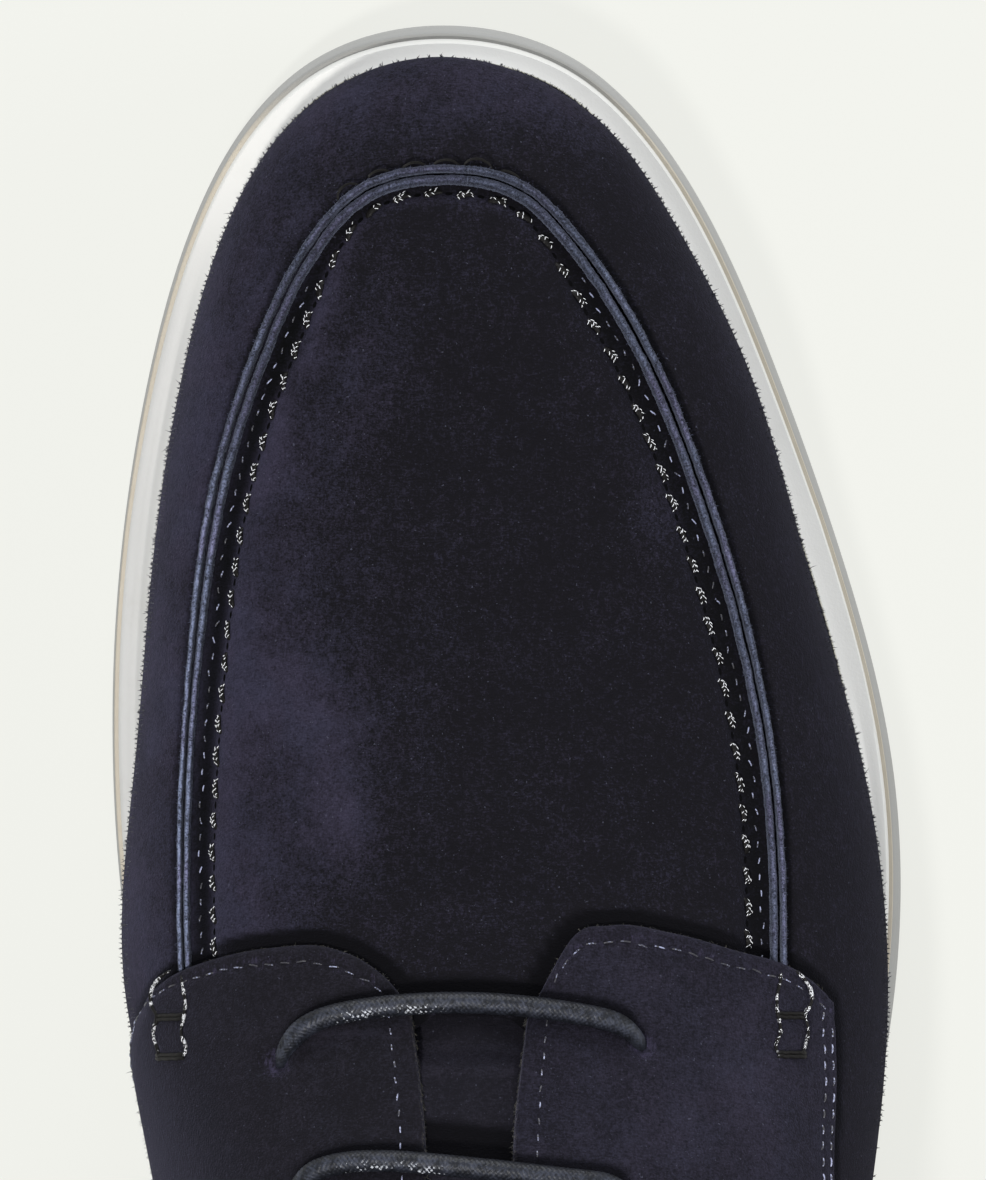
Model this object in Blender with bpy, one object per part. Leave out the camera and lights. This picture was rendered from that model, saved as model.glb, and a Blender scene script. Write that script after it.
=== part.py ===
"""Derby shoe for the right foot, with an apron toe, open-laced quarters and a rubber sole.

Frame: +X to the toe, +Y to the medial side, +Z up, the tread on z = 0, the origin under the middle of the
shoe. Sizes and tables are in millimetres and objects in metres. A station is a distance along the shoe
from the back of the heel. Medial and lateral columns are distances to either side of the plane y = 0.
"""

import bmesh
import bpy
import math
import numpy as np

for old in list(bpy.data.objects):
    bpy.data.objects.remove(old)

MM = 0.001
MEDIAL = 1
LATERAL = -1
CLEAR = 0.3                 # gap between faces that meet

# The sole, from the tread up, and its line along the shoe
LENGTH = 303.0
HEEL_RISE = 14.3            # underside of the outsole over the heel block
HEEL_BREAST = 77.0          # station of the heel block's front face
WAIST_BACK = 80.0           # the underside comes down from here
BALL_BACK = 190.0           # the tread is flat from here
BALL_FRONT = 235.0          # to here
TOE_SPRING = 9.5
SPRING_POWER = 1.6
OUTSOLE_TOP = 5.2
MIDSOLE_TOP = 6.6
WELT_TOP = 9.1
LIP_RISE = 1.2
LIP_GAP = 0.5
SOLE_CELLS = 44             # sections along each layer of the sole
EDGE_BEVEL = 0.9
MIDSOLE_LEDGE = 0.6         # the midsole stands this far out past the welt
INSOLE_TOP = 10.0
HEEL_CELLS = 12             # sections along the heel block
HEEL_PROFILE = (            # inset from the outsole's edge, height
    (2.6, 0.0),
    (1.8, 0.9),
    (0.5, HEEL_RISE - CLEAR),
)

# Outlines, heel to toe: station, medial, lateral
SOLE_TIPS = ((0.0, 1.0), (303.0, 9.4))
SOLE_EDGE = (
    (4.5, 16.0, 14.0),
    (16.0, 28.5, 26.5),
    (34.0, 34.5, 32.8),
    (60.0, 35.2, 35.2),
    (90.0, 35.5, 38.5),
    (118.0, 39.5, 44.0),
    (145.0, 46.5, 50.0),
    (170.0, 52.2, 54.2),
    (200.0, 55.0, 53.7),
    (230.0, 53.8, 46.3),
    (255.0, 49.8, 37.5),
    (275.8, 43.7, 28.4),
    (289.0, 36.6, 19.8),
    (298.0, 27.3, 9.9),
)
UPPER_TIPS = ((3.0, 1.0), (298.6, 9.3))
UPPER_EDGE = (
    (7.2, 15.0, 13.0),
    (18.0, 26.3, 24.3),
    (36.0, 32.5, 31.0),
    (62.0, 34.8, 35.0),
    (90.0, 37.8, 39.3),
    (118.0, 43.0, 44.9),
    (147.6, 48.7, 50.8),
    (170.0, 53.3, 52.9),
    (200.0, 51.8, 49.4),
    (230.0, 49.1, 41.1),
    (255.0, 45.0, 33.5),
    (275.8, 38.6, 22.9),
    (289.0, 30.2, 13.2),
    (295.3, 21.6, 3.6),
)

# The form of the last, heel to toe: station, y of the ridge, height of the ridge, rise of the widest line
# over the welt, fullness of the section (2 is an ellipse, more is squarer). Behind the throat the ridge is
# that of the leg.
LAST = (
    (0.0, 1.0, 128.0, 24.0, 2.30),
    (40.0, 1.2, 128.0, 24.0, 2.30),
    (70.0, 2.0, 118.0, 21.0, 2.20),
    (100.0, 3.8, 94.0, 18.0, 2.00),
    (130.0, 5.0, 78.0, 15.5, 1.95),
    (165.0, 5.3, 62.0, 12.0, 2.00),
    (200.0, 5.6, 52.0, 9.5, 2.15),
    (235.0, 6.6, 46.5, 8.5, 2.30),
    (265.0, 8.2, 43.0, 8.0, 2.45),
    (298.6, 9.3, 37.0, 7.5, 2.50),
)
RIDGE_Y, RIDGE_HEIGHT, WIDEST, FULLNESS = 1, 2, 3, 4
TOE_REACH = 34.0            # from the toe tip back to the ridge's front end
HEEL_REACH = 28.0
FAN = 0.35                  # how soon the sections start to turn towards each end
WIDE = 0.2                  # level of the widest line: 0 is the edge on the welt, 1 the ridge
TUCK_REACH = 0.88           # the side turns in under the widest line, all but this share of the way down
TUCK_POWER = 2.2

# The upper and what lies on it
WALL = 1.8
UNDERLAP = WALL + 0.5       # how far the welt reaches in past the upper's edge
FOOT_ROWS = (0.0, 0.12, 0.4, 0.7, 1.0)          # rows from the edge up to the widest line
SIDE_ROWS = (0.25, 0.5, 0.78)                   # from the widest line up to the apron seam
PLUG_ROWS = (0.18, 0.38, 0.59, 0.8, 1.0)        # from the seam up to the ridge or the throat
SEAM_HEIGHT = 1.2           # the raised apron seam
SEAM_HALF = 0.03            # half its width, as a share of the height
SEAM_REST = (130.0, 0.42)   # behind this station its row runs on at this share of the height
SEAM_BACK = 175.0           # it runs under the quarters from here
SEAM_FADE = 7.0
THROAT = 167.0              # station of the throat's front end
THROAT_HALF = 9.0           # half width of the throat in the upper
THROAT_ROUND = 5.0
APRON_ENDS = ((150.0, 44.0), (150.0, -37.2))
APRON_TIP = (282.6, 9.6)
APRON = (
    (171.0, 44.8, 37.6),
    (198.0, 44.7, 36.5),
    (218.0, 43.15, 32.85),
    (238.0, 40.2, 26.9),
    (258.0, 33.9, 18.6),
    (274.0, 26.1, 8.5),
    (280.2, 19.6, 1.9),
)
COLLAR = (                  # station, height of the top line
    (0.0, 81.0),
    (20.0, 77.0),
    (45.0, 69.0),
    (65.0, 68.5),
    (82.0, 76.0),
    (95.0, 91.0),
    (104.0, 106.0),
)
FACING_TOP = 97.0           # station where the throat's edge turns into the collar
SLOT_BACK = 77.0            # the throat's lines are not read further back than this

QUARTER_GAP = 0.65          # over the upper, a little more than CLEAR for the facets
QUARTER_THICK = 1.3
BACK_SEAM = 0.02            # each quarter starts this far in front of the heel point, and they part
QUARTER_FRONT = 166.0
ARCH_BACK = 26.0            # the front edge's arch dies out over this length
FRONT_EDGE = (              # share of the way from throat to outer corner, arch of the edge medial, lateral
    (0.0, 0.0, -1.5),
    (0.05, 3.6, 4.0),
    (0.12, 6.6, 10.2),
    (0.22, 8.6, 11.7),
    (0.40, 8.6, 10.6),
    (0.60, 7.1, 8.2),
    (0.80, 4.6, 5.9),
    (0.93, 2.2, 3.1),
    (1.0, 0.3, 1.0),
)
QUARTER_ROWS = (0.0, 0.05, 0.12, 0.22, 0.34, 0.46, 0.58, 0.70, 0.82, 0.92, 1.0)
QUARTER_FOOT = 0.018       # level of its edge over the welt's lip
LOWER_EDGE = (              # station, level of the quarter's lower edge medial, lateral
    (75.0, QUARTER_FOOT, QUARTER_FOOT),
    (90.0, QUARTER_FOOT, 0.08),
    (106.0, QUARTER_FOOT, 0.20),
    (125.0, 0.04, 0.34),
    (140.0, 0.08, 0.43),
    (156.6, 0.20, 0.46),
    (166.0, 0.385, 0.475),
)
FACING_EDGE = (             # station, half width of the throat between the facings
    (97.0, 9.0),
    (120.0, 6.6),
    (150.0, 6.1),
    (166.0, 7.9),
)

TONGUE_FRONT = 171.0
TONGUE_BACK = 87.0
TONGUE_HALF = (17.0, 21.0)  # half width at the front and at the top
TONGUE_GAP = 0.6            # under the upper
TONGUE_THICK = 2.2
TONGUE_CELLS = 14
TONGUE_COLUMNS = (-1.0, -0.66, -0.33, 0.0, 0.33, 0.66, 1.0)

LACE_RADIUS = 1.4
LACE_GAP = 0.5              # over the facings at the bar's axis, which its straight pieces take up
LACES = (                   # station and y of the medial and the lateral eyelet, bow of the bar to the front
    (158.5, 31.3, 161.0, -18.5, 6.4),
    (142.7, 29.6, 142.3, -16.1, 2.0),
    (125.5, 28.0, 125.5, -14.8, 1.2),
    (108.5, 26.8, 108.5, -14.2, 0.8),
)


# Curves and tables

def smooth_path(points, closed=False, samples=24):
    """Even samples of the cubic spline through plan points."""
    knots = np.array(points, float)
    if closed:
        knots = np.vstack([knots[-4:], knots, knots[:5]])
    chord = np.linalg.norm(np.diff(knots, axis=0), axis=1)
    along = np.concatenate([[0.0], np.cumsum(chord)])
    system = np.eye(len(knots))
    pull = np.zeros_like(knots)
    for i in range(1, len(knots) - 1):
        system[i, i - 1:i + 2] = chord[i - 1], 2 * (chord[i - 1] + chord[i]), chord[i]
        pull[i] = 6 * ((knots[i + 1] - knots[i]) / chord[i] - (knots[i] - knots[i - 1]) / chord[i - 1])
    bend = np.linalg.solve(system, pull)
    first, last = (4, len(knots) - 5) if closed else (0, len(knots) - 1)
    where = np.linspace(along[first], along[last], samples * (last - first) + 1)
    k = np.clip(np.searchsorted(along, where) - 1, 0, len(chord) - 1)
    step = chord[k][:, None]
    a = (along[k + 1] - where)[:, None] / step
    b = 1 - a
    arc = ((a ** 3 - a) * bend[k] + (b ** 3 - b) * bend[k + 1]) * step ** 2 / 6
    return a * knots[k] + b * knots[k + 1] + arc


def read(table, column, station):
    """A column of a table at a station, by a smooth curve through its rows."""
    x = np.array([row[0] for row in table])
    y = np.array([row[column] for row in table])
    slope = np.gradient(y, x)
    station = np.asarray(station, float)
    k = np.clip(np.searchsorted(x, station) - 1, 0, len(x) - 2)
    step = x[k + 1] - x[k]
    t = np.clip((station - x[k]) / step, 0, 1)
    near = (1 + 2 * t) * (1 - t) ** 2 * y[k] + t * (1 - t) ** 2 * step * slope[k]
    return near + t * t * (3 - 2 * t) * y[k + 1] - t * t * (1 - t) * step * slope[k + 1]


def ease(t):
    """0 to 1 with flat ends."""
    t = np.clip(t, 0, 1)
    return t * t * (3 - 2 * t)


def spaced(low, high, cells):
    """Stations that crowd towards both ends, as round ends need."""
    return low + (high - low) * (1 - np.cos(np.pi * np.arange(cells + 1) / cells)) / 2


class Outline:
    """A closed plan line that runs heel, medial side, toe, lateral side."""

    def __init__(self, loop):
        loop = np.roll(loop, -np.argmin(loop[:, 0]), axis=0)
        front = np.argmax(loop[:, 0])
        self.loop = loop
        self.heel = loop[0, 0]
        self.toe = loop[front, 0]
        lateral = np.vstack([loop[front:], loop[:1]])[::-1]
        self.halves = {MEDIAL: loop[:front + 1], LATERAL: lateral}

    def across(self, station, side):
        half = self.halves[side]
        return np.interp(station, half[:, 0], half[:, 1])

    def inward(self):
        along = np.roll(self.loop, -1, axis=0) - np.roll(self.loop, 1, axis=0)
        across = np.stack([along[:, 1], -along[:, 0]], axis=1)
        return across / np.linalg.norm(across, axis=1)[:, None]

    def inset(self, amount):
        return Outline(self.loop + self.inward() * np.broadcast_to(amount, len(self.loop))[:, None])

    def ring(self, cells):
        """Stations and y once around, the two sides at the same stations."""
        stations = spaced(self.heel, self.toe, cells)
        medial = np.stack([stations, self.across(stations, MEDIAL)], axis=1)
        lateral = np.stack([stations, self.across(stations, LATERAL)], axis=1)
        return np.vstack([medial, lateral[-2:0:-1]])


def outline(tips, rows):
    medial = [(station, across) for station, across, _ in rows]
    lateral = [(station, -across) for station, _, across in reversed(rows)]
    return Outline(smooth_path([tips[0]] + medial + [tips[1]] + lateral, closed=True)[:-1])


# Meshes

def finish(name, points, faces, colour, roughness):
    """A closed body from points in millimetres by station, with its own material."""
    body = bmesh.new()
    placed = (np.asarray(points) - (LENGTH / 2, 0, 0)) * MM
    corners = [body.verts.new(point) for point in placed.tolist()]
    for face in faces:
        body.faces.new([corners[i] for i in face])
    bmesh.ops.remove_doubles(body, verts=body.verts, dist=0.01 * MM)
    bmesh.ops.triangulate(body, faces=body.faces, quad_method="SHORT_EDGE")
    bmesh.ops.recalc_face_normals(body, faces=body.faces)
    mesh = bpy.data.meshes.new(name)
    body.to_mesh(mesh)
    body.free()
    mesh.shade_smooth()
    mesh.set_sharp_from_angle(angle=math.radians(40))
    made = bpy.data.objects.new(name, mesh)
    bpy.context.collection.objects.link(made)
    material = bpy.data.materials.new(name)
    material.use_nodes = True
    shader = material.node_tree.nodes["Principled BSDF"]
    shader.inputs["Base Color"].default_value = (*colour, 1)
    shader.inputs["Roughness"].default_value = roughness
    shader.inputs["Metallic"].default_value = 0
    mesh.materials.append(material)
    return made


def cap(start, count):
    """Faces straight across a ring whose two sides mirror each other about its first point."""
    faces = []
    for i in range(count // 2):
        corners = dict.fromkeys((i, i + 1, (count - i - 1) % count, (count - i) % count))
        faces.append([start + corner for corner in corners])
    return faces


def loft(rings, hollow=False):
    """Points and faces of a body through rings: capped at both ends, or a strip that closes on itself."""
    count = len(rings[0])
    points = np.vstack(rings)
    joins = [(k, k + 1) for k in range(len(rings) - 1)]
    faces = []
    if hollow:
        joins.append((len(rings) - 1, 0))
    else:
        faces += cap(0, count)
        faces += cap((len(rings) - 1) * count, count)
    for low, high in joins:
        for i in range(count):
            j = (i + 1) % count
            faces.append((low * count + i, low * count + j, high * count + j, high * count + i))
    return points, faces


def grid_faces(rows, columns, start=0, flip=False):
    """Faces of a grid whose points run row by row."""
    faces = []
    for r in range(rows - 1):
        for c in range(columns - 1):
            a = start + r * columns + c
            face = (a, a + 1, a + columns + 1, a + columns)
            faces.append(face[::-1] if flip else face)
    return faces


def shell(points, faces, outward, inward):
    """A closed body between two offsets of one open sheet, measured along its normals."""
    kept = {}
    merged = [kept.setdefault(tuple(np.round(point, 3)), len(kept)) for point in points]
    source = {}
    for index, target in enumerate(merged):
        source.setdefault(target, index)
    order = [source[i] for i in range(len(kept))]
    sheet = bmesh.new()
    corners = [sheet.verts.new(points[i]) for i in order]
    for face in faces:
        ids = list(dict.fromkeys(merged[i] for i in face))
        if len(ids) > 2:
            sheet.faces.new([corners[i] for i in ids])
    sheet.normal_update()
    sheet.verts.index_update()
    base = np.array([corner.co[:] for corner in corners])
    normal = np.array([corner.normal[:] for corner in corners])
    outer = base + normal * np.broadcast_to(outward, len(points))[order][:, None]
    inner = base + normal * np.broadcast_to(inward, len(points))[order][:, None]
    count = len(base)
    skin = [[vertex.index for vertex in face.verts] for face in sheet.faces]
    faces = skin + [[i + count for i in reversed(face)] for face in skin]
    for edge in sheet.edges:
        if edge.is_boundary:
            a, b = (vertex.index for vertex in edge.verts)
            faces.append((a, b, b + count, a + count))
    sheet.free()
    return np.vstack([outer, inner]), faces


# The sole's line

def tread(station):
    """Height of the outsole's underside: heel, waist, flat ball and toe spring."""
    waist = ease((BALL_BACK - station) / (BALL_BACK - WAIST_BACK)) * HEEL_RISE
    front = np.clip((station - BALL_FRONT) / (LENGTH - BALL_FRONT), 0, None)
    return waist + TOE_SPRING * front ** SPRING_POWER


def over_tread(station, height):
    """Station and height of a point that far above the tread, square to it."""
    tilt = np.arctan(tread(station + 0.5) - tread(station - 0.5))
    return station - height * np.sin(tilt), tread(station) + height * np.cos(tilt)


def deck(station):
    """Height of the welt's flat top at a station."""
    dense = np.linspace(-6, LENGTH + 6, 700)
    return np.interp(station, *over_tread(dense, WELT_TOP))


def sole_ring(line, height, cells):
    ring = line.ring(cells)
    station, up = over_tread(ring[:, 0], height)
    return np.stack([station, ring[:, 1], up], axis=1)


SOLE = outline(SOLE_TIPS, SOLE_EDGE)
UPPER = outline(UPPER_TIPS, UPPER_EDGE)
# The sole wall leans out, more on the lateral side and less at the toe, and the toe spring tips it back
TOEWARD = np.clip(-SOLE.inward()[:, 0], 0, 1)
FLARE = (0.7 - 0.4 * SOLE.loop[:, 1] / 55) * (1 - 0.7 * TOEWARD)
LEAN = SOLE.loop[:, 0] - over_tread(SOLE.loop[:, 0], WELT_TOP)[0]
# The welt shows more in front than at the heel, and inside it lies the upper's edge
WELT_SHOWS = 3.3 + 1.9 * ease((SOLE.loop[:, 0] - 120) / 70) - LEAN * TOEWARD
FEATHER = SOLE.inset(WELT_SHOWS)


def outsole():
    rings = [
        sole_ring(SOLE.inset(EDGE_BEVEL), 0, SOLE_CELLS),
        sole_ring(SOLE, EDGE_BEVEL, SOLE_CELLS),
        sole_ring(SOLE.inset(FLARE), OUTSOLE_TOP, SOLE_CELLS),
    ]
    finish("outsole", *loft(rings), (0.70, 0.70, 0.69), 0.5)


def midsole():
    line = SOLE.inset(FLARE)
    rings = [sole_ring(line, OUTSOLE_TOP + CLEAR, SOLE_CELLS), sole_ring(line, MIDSOLE_TOP, SOLE_CELLS)]
    finish("midsole", *loft(rings), (0.62, 0.55, 0.45), 0.6)


def welt():
    """A strip all round, flat on top, with a lip that rises against the upper."""
    edge = FLARE + MIDSOLE_LEDGE
    width = WELT_SHOWS - LIP_GAP - edge
    profile = (                                     # share of the width from the edge to the lip, height
        (0.0, MIDSOLE_TOP + CLEAR),
        (0.0, WELT_TOP - 0.4),
        (0.1, WELT_TOP),
        (0.6, WELT_TOP),
        (0.85, WELT_TOP + LIP_RISE),
        (1.0, WELT_TOP + LIP_RISE),
        (1.0, WELT_TOP),
    )
    rings = []
    for share, height in profile:
        rings.append(sole_ring(SOLE.inset(edge + width * share), height, SOLE_CELLS))
    inside = FEATHER.inset(UNDERLAP)
    rings.append(sole_ring(inside, WELT_TOP, SOLE_CELLS))
    rings.append(sole_ring(inside, MIDSOLE_TOP + CLEAR, SOLE_CELLS))
    finish("welt", *loft(rings, hollow=True), (0.80, 0.80, 0.78), 0.45)


def insole():
    line = FEATHER.inset(UNDERLAP + CLEAR)
    rings = [sole_ring(line, MIDSOLE_TOP + CLEAR, SOLE_CELLS), sole_ring(line, INSOLE_TOP, SOLE_CELLS)]
    finish("insole", *loft(rings), (0.45, 0.30, 0.18), 0.7)


def heel():
    """A block under the heel seat, tapered a little to the floor, with a straight breast."""
    shares = spaced(0, 2, 2 * HEEL_CELLS)[:HEEL_CELLS + 1]
    rings = []
    for inset, height in HEEL_PROFILE:
        line = SOLE.inset(inset)
        along = line.heel + shares * (HEEL_BREAST - line.heel)
        up = np.full(len(along), height)
        medial = np.stack([along, line.across(along, MEDIAL), up], axis=1)
        lateral = np.stack([along, line.across(along, LATERAL), up], axis=1)
        rings.append(np.vstack([medial, lateral[:0:-1]]))
    finish("heel", *loft(rings), (0.68, 0.68, 0.67), 0.55)


# The upper's form

def ridge_station(station):
    """Where the section from a station of the widest line meets the ridge: towards the ends it fans out."""
    from_toe = np.clip(1 - (UPPER.toe - station) * FAN / TOE_REACH, 0, 1)
    from_heel = np.clip(1 - (station - UPPER.heel) * FAN / HEEL_REACH, 0, 1)
    met = station - TOE_REACH * from_toe ** 2 + HEEL_REACH * from_heel ** 2
    toe_end = UPPER.toe - TOE_REACH
    return np.where(abs(met - toe_end) < CLEAR, toe_end, met)


def upper_point(station, level, side):
    """The upper's outer face: level 0 on the welt, WIDE at the widest line, 1 at the ridge."""
    station, level = np.broadcast_arrays(np.asarray(station, float), np.asarray(level, float))
    wide = np.stack([station, UPPER.across(station, side)], axis=-1)
    along = (station - UPPER.heel) / (UPPER.toe - UPPER.heel)
    foot_station = FEATHER.heel + along * (FEATHER.toe - FEATHER.heel)
    foot = np.stack([over_tread(foot_station, WELT_TOP)[0], FEATHER.across(foot_station, side)], axis=-1)
    top_station = ridge_station(station)
    top = np.stack([top_station, read(LAST, RIDGE_Y, top_station)], axis=-1)
    rise = read(LAST, WIDEST, station)
    fullness = read(LAST, FULLNESS, station)
    below = np.clip(1 - level / WIDE, 0, 1)
    tuck = np.clip(below / TUCK_REACH, 0, 1) ** TUCK_POWER
    turn = np.clip((level - WIDE) / (1 - WIDE), 0, 1) * np.pi / 2
    inward = np.cos(turn) ** (2 / fullness)
    climb = np.sin(turn) ** (2 / fullness)
    lower = wide + (foot - wide) * tuck[..., None]
    upper_part = top + (wide - top) * inward[..., None]
    plan = np.where((level < WIDE)[..., None], lower, upper_part)
    seat = deck(plan[..., 0]) + CLEAR
    seat_wide = deck(wide[..., 0]) + CLEAR + rise
    ridge = read(LAST, RIDGE_HEIGHT, plan[..., 0])
    base = np.where(level < WIDE, seat, seat_wide)
    gain = np.where(level < WIDE, (seat_wide - seat) * (1 - below), (ridge - seat_wide) * climb)
    return np.concatenate([plan, (base + gain)[..., None]], axis=-1)


def upper_normal(station, level, side):
    ahead = 0.4
    above = 0.004
    along = upper_point(station + ahead, level, side) - upper_point(station - ahead, level, side)
    rising = upper_point(station, level + above, side) - upper_point(station, level - above, side)
    normal = np.cross(rising, along) * side
    return normal / np.linalg.norm(normal, axis=-1)[..., None]


def level_where(station, side, measure, target):
    """The level at which measure(point), which grows with the level, reaches a target."""
    low = np.zeros(np.shape(station))
    high = np.ones(np.shape(station))
    for _ in range(32):
        middle = (low + high) / 2
        short = measure(upper_point(station, middle, side)) < target
        low = np.where(short, middle, low)
        high = np.where(short, high, middle)
    return high


def level_across(station, side, y):
    return level_where(station, side, lambda point: -side * point[..., 1], -side * np.asarray(y, float))


def level_of_collar(station, side):
    return level_where(station, side, lambda point: point[..., 2] - read(COLLAR, 1, point[..., 0]), 0)


def throat_level(station, side, half):
    return level_across(station, side, read(LAST, RIDGE_Y, station) + side * half)


APRON_LINE = smooth_path(
    [APRON_ENDS[0]] + [(s, m) for s, m, _ in APRON] + [APRON_TIP]
    + [(s, -l) for s, _, l in reversed(APRON)] + [APRON_ENDS[1]])
APRON_FRONT = np.argmax(APRON_LINE[:, 0])
APRON_MEDIAL = APRON_LINE[:APRON_FRONT + 1]
APRON_LATERAL = APRON_LINE[APRON_FRONT:][::-1]


def inside_apron(point):
    """How far a point lies inside the apron seam, across the shoe."""
    station, y = point[..., 0], point[..., 1]
    from_medial = np.interp(station, APRON_MEDIAL[:, 0], APRON_MEDIAL[:, 1]) - y
    from_lateral = y - np.interp(station, APRON_LATERAL[:, 0], APRON_LATERAL[:, 1])
    return np.where(station > APRON_MEDIAL[-1, 0], -1.0, np.minimum(from_medial, from_lateral))


def seam_level(station, side):
    return level_where(station, side, inside_apron, 0)


def upper_stations():
    """Where the upper's sections lie: crowded at the ends, and one at each place where its edges turn."""
    stations = spaced(UPPER.heel, UPPER.toe, 38)
    knots = (THROAT, THROAT - 1.5, THROAT - THROAT_ROUND, SEAM_BACK, SEAM_BACK + SEAM_FADE)
    knots += (FACING_TOP - 6, FACING_TOP - 3, FACING_TOP, FACING_TOP + 6, LOWER_EDGE[-2][0])
    for knot in knots:
        stations = stations[abs(stations - knot) > 1.4]
        stations = np.sort(np.append(stations, knot))
    return stations


def upper():
    """One hollow shell, open underneath, at throat and collar, with the apron seam raised in its wall."""
    stations = upper_stations()
    seam_row = len(FOOT_ROWS) + len(SIDE_ROWS) + 1
    points = []
    lift = []
    faces = []
    for number, side in enumerate((MEDIAL, LATERAL)):
        opening = THROAT_HALF * np.sqrt(np.clip((THROAT - stations) / THROAT_ROUND, 0, 1))
        slot = throat_level(np.clip(stations, SLOT_BACK, THROAT), side, opening)
        top = np.where(stations < THROAT, np.minimum(slot, level_of_collar(stations, side)), 1.0)
        seam = (seam_level(np.maximum(stations, THROAT), side) - WIDE) / (1 - WIDE)
        back, rest = SEAM_REST
        seam = rest + (seam - rest) * ease((stations - back) / (THROAT - back))
        shares = [seam * share for share in SIDE_ROWS]
        shares += [seam - SEAM_HALF, seam, seam + SEAM_HALF]
        shares += [seam + SEAM_HALF + (1 - seam - SEAM_HALF) * share for share in PLUG_ROWS]
        rows = [np.full(len(stations), WIDE * share) for share in FOOT_ROWS]
        rows += [WIDE + (top - WIDE) * share for share in shares]
        levels = np.array(rows)
        points.append(upper_point(stations, levels, side).reshape(-1, 3))
        raised = np.zeros(levels.shape)
        raised[seam_row] = SEAM_HEIGHT * ease((stations - SEAM_BACK) / SEAM_FADE)
        lift.append(raised.ravel())
        faces += grid_faces(len(rows), len(stations), number * levels.size, flip=side == MEDIAL)
    body = shell(np.vstack(points), faces, np.concatenate(lift), -WALL)
    finish("upper", *body, (0.045, 0.045, 0.07), 0.95)


def quarter(name, side):
    """The quarter and its facing: a layer over the upper from the vamp's back edge to the back seam."""
    stations = upper_stations()
    stations = np.append(stations[stations < QUARTER_FRONT - 1], QUARTER_FRONT)
    stations[0] += BACK_SEAM
    shares = np.array(QUARTER_ROWS)[:, None]
    slot = throat_level(np.maximum(stations, SLOT_BACK), side, read(FACING_EDGE, 1, stations))
    top = np.minimum(slot, level_of_collar(stations, side))
    column = 1 if side == MEDIAL else 2
    bottom = read(LOWER_EDGE, column, stations)
    forward = read(FRONT_EDGE, column, shares) * ease(1 - (QUARTER_FRONT - stations) / ARCH_BACK)
    points = upper_point(stations + forward, top + (bottom - top) * shares, side).reshape(-1, 3)
    faces = grid_faces(len(shares), len(stations), flip=side == LATERAL)
    body = shell(points, faces, QUARTER_GAP + QUARTER_THICK, QUARTER_GAP)
    finish(name, *body, (0.05, 0.05, 0.075), 0.95)


def tongue():
    """A strip under the throat that stands up past the facings."""
    stations = np.linspace(TONGUE_FRONT, TONGUE_BACK, TONGUE_CELLS + 1)
    half = np.linspace(*TONGUE_HALF, TONGUE_CELLS + 1)
    rows = []
    for share in TONGUE_COLUMNS:
        side = MEDIAL if share > 0 else LATERAL
        level = throat_level(stations, side, abs(share) * half)
        rows.append(upper_point(stations, level, side))
    faces = grid_faces(len(rows), len(stations), flip=True)
    under = -WALL - TONGUE_GAP
    body = shell(np.vstack(rows), faces, under, under - TONGUE_THICK)
    finish("tongue", *body, (0.04, 0.04, 0.06), 0.95)


def lace_bar(name, medial_station, medial_y, lateral_station, lateral_y, bow):
    """A round bar straight across the facings, from one eyelet to the other."""
    share = np.linspace(0, 1, 11)
    y = medial_y + (lateral_y - medial_y) * share
    station = medial_station + (lateral_station - medial_station) * share
    station = station + bow * (1 - abs(2 * share - 1) ** 8)
    ridge = read(LAST, RIDGE_Y, station)
    route = []
    for s, across, middle in zip(station, y, ridge):
        side = MEDIAL if across > middle else LATERAL
        level = level_across(s, side, across)
        lift = QUARTER_GAP + QUARTER_THICK + LACE_GAP + LACE_RADIUS
        route.append(upper_point(s, level, side) + upper_normal(s, level, side) * lift)
    curve = bpy.data.curves.new(name, "CURVE")
    curve.dimensions = "3D"
    curve.bevel_depth = LACE_RADIUS * MM
    curve.bevel_resolution = 2
    curve.use_fill_caps = True
    spline = curve.splines.new("POLY")
    spline.points.add(len(route) - 1)
    for point, place in zip(spline.points, route):
        point.co = (*((place - (LENGTH / 2, 0, 0)) * MM), 1)
    made = bpy.data.objects.new(name, curve)
    bpy.context.collection.objects.link(made)
    material = bpy.data.materials.new(name)
    material.use_nodes = True
    shader = material.node_tree.nodes["Principled BSDF"]
    shader.inputs["Base Color"].default_value = (0.02, 0.022, 0.03, 1)
    shader.inputs["Roughness"].default_value = 0.35
    shader.inputs["Metallic"].default_value = 0
    curve.materials.append(material)


outsole()
heel()
midsole()
welt()
insole()
upper()
quarter("quarter_medial", MEDIAL)
quarter("quarter_lateral", LATERAL)
tongue()
for number, bar in enumerate(LACES, start=1):
    lace_bar(f"lace_bar_{number}", *bar)
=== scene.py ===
import bmesh
import bpy
import math
import numpy as np
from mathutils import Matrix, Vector
from mathutils.bvhtree import BVHTree
from mathutils.kdtree import KDTree


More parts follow.
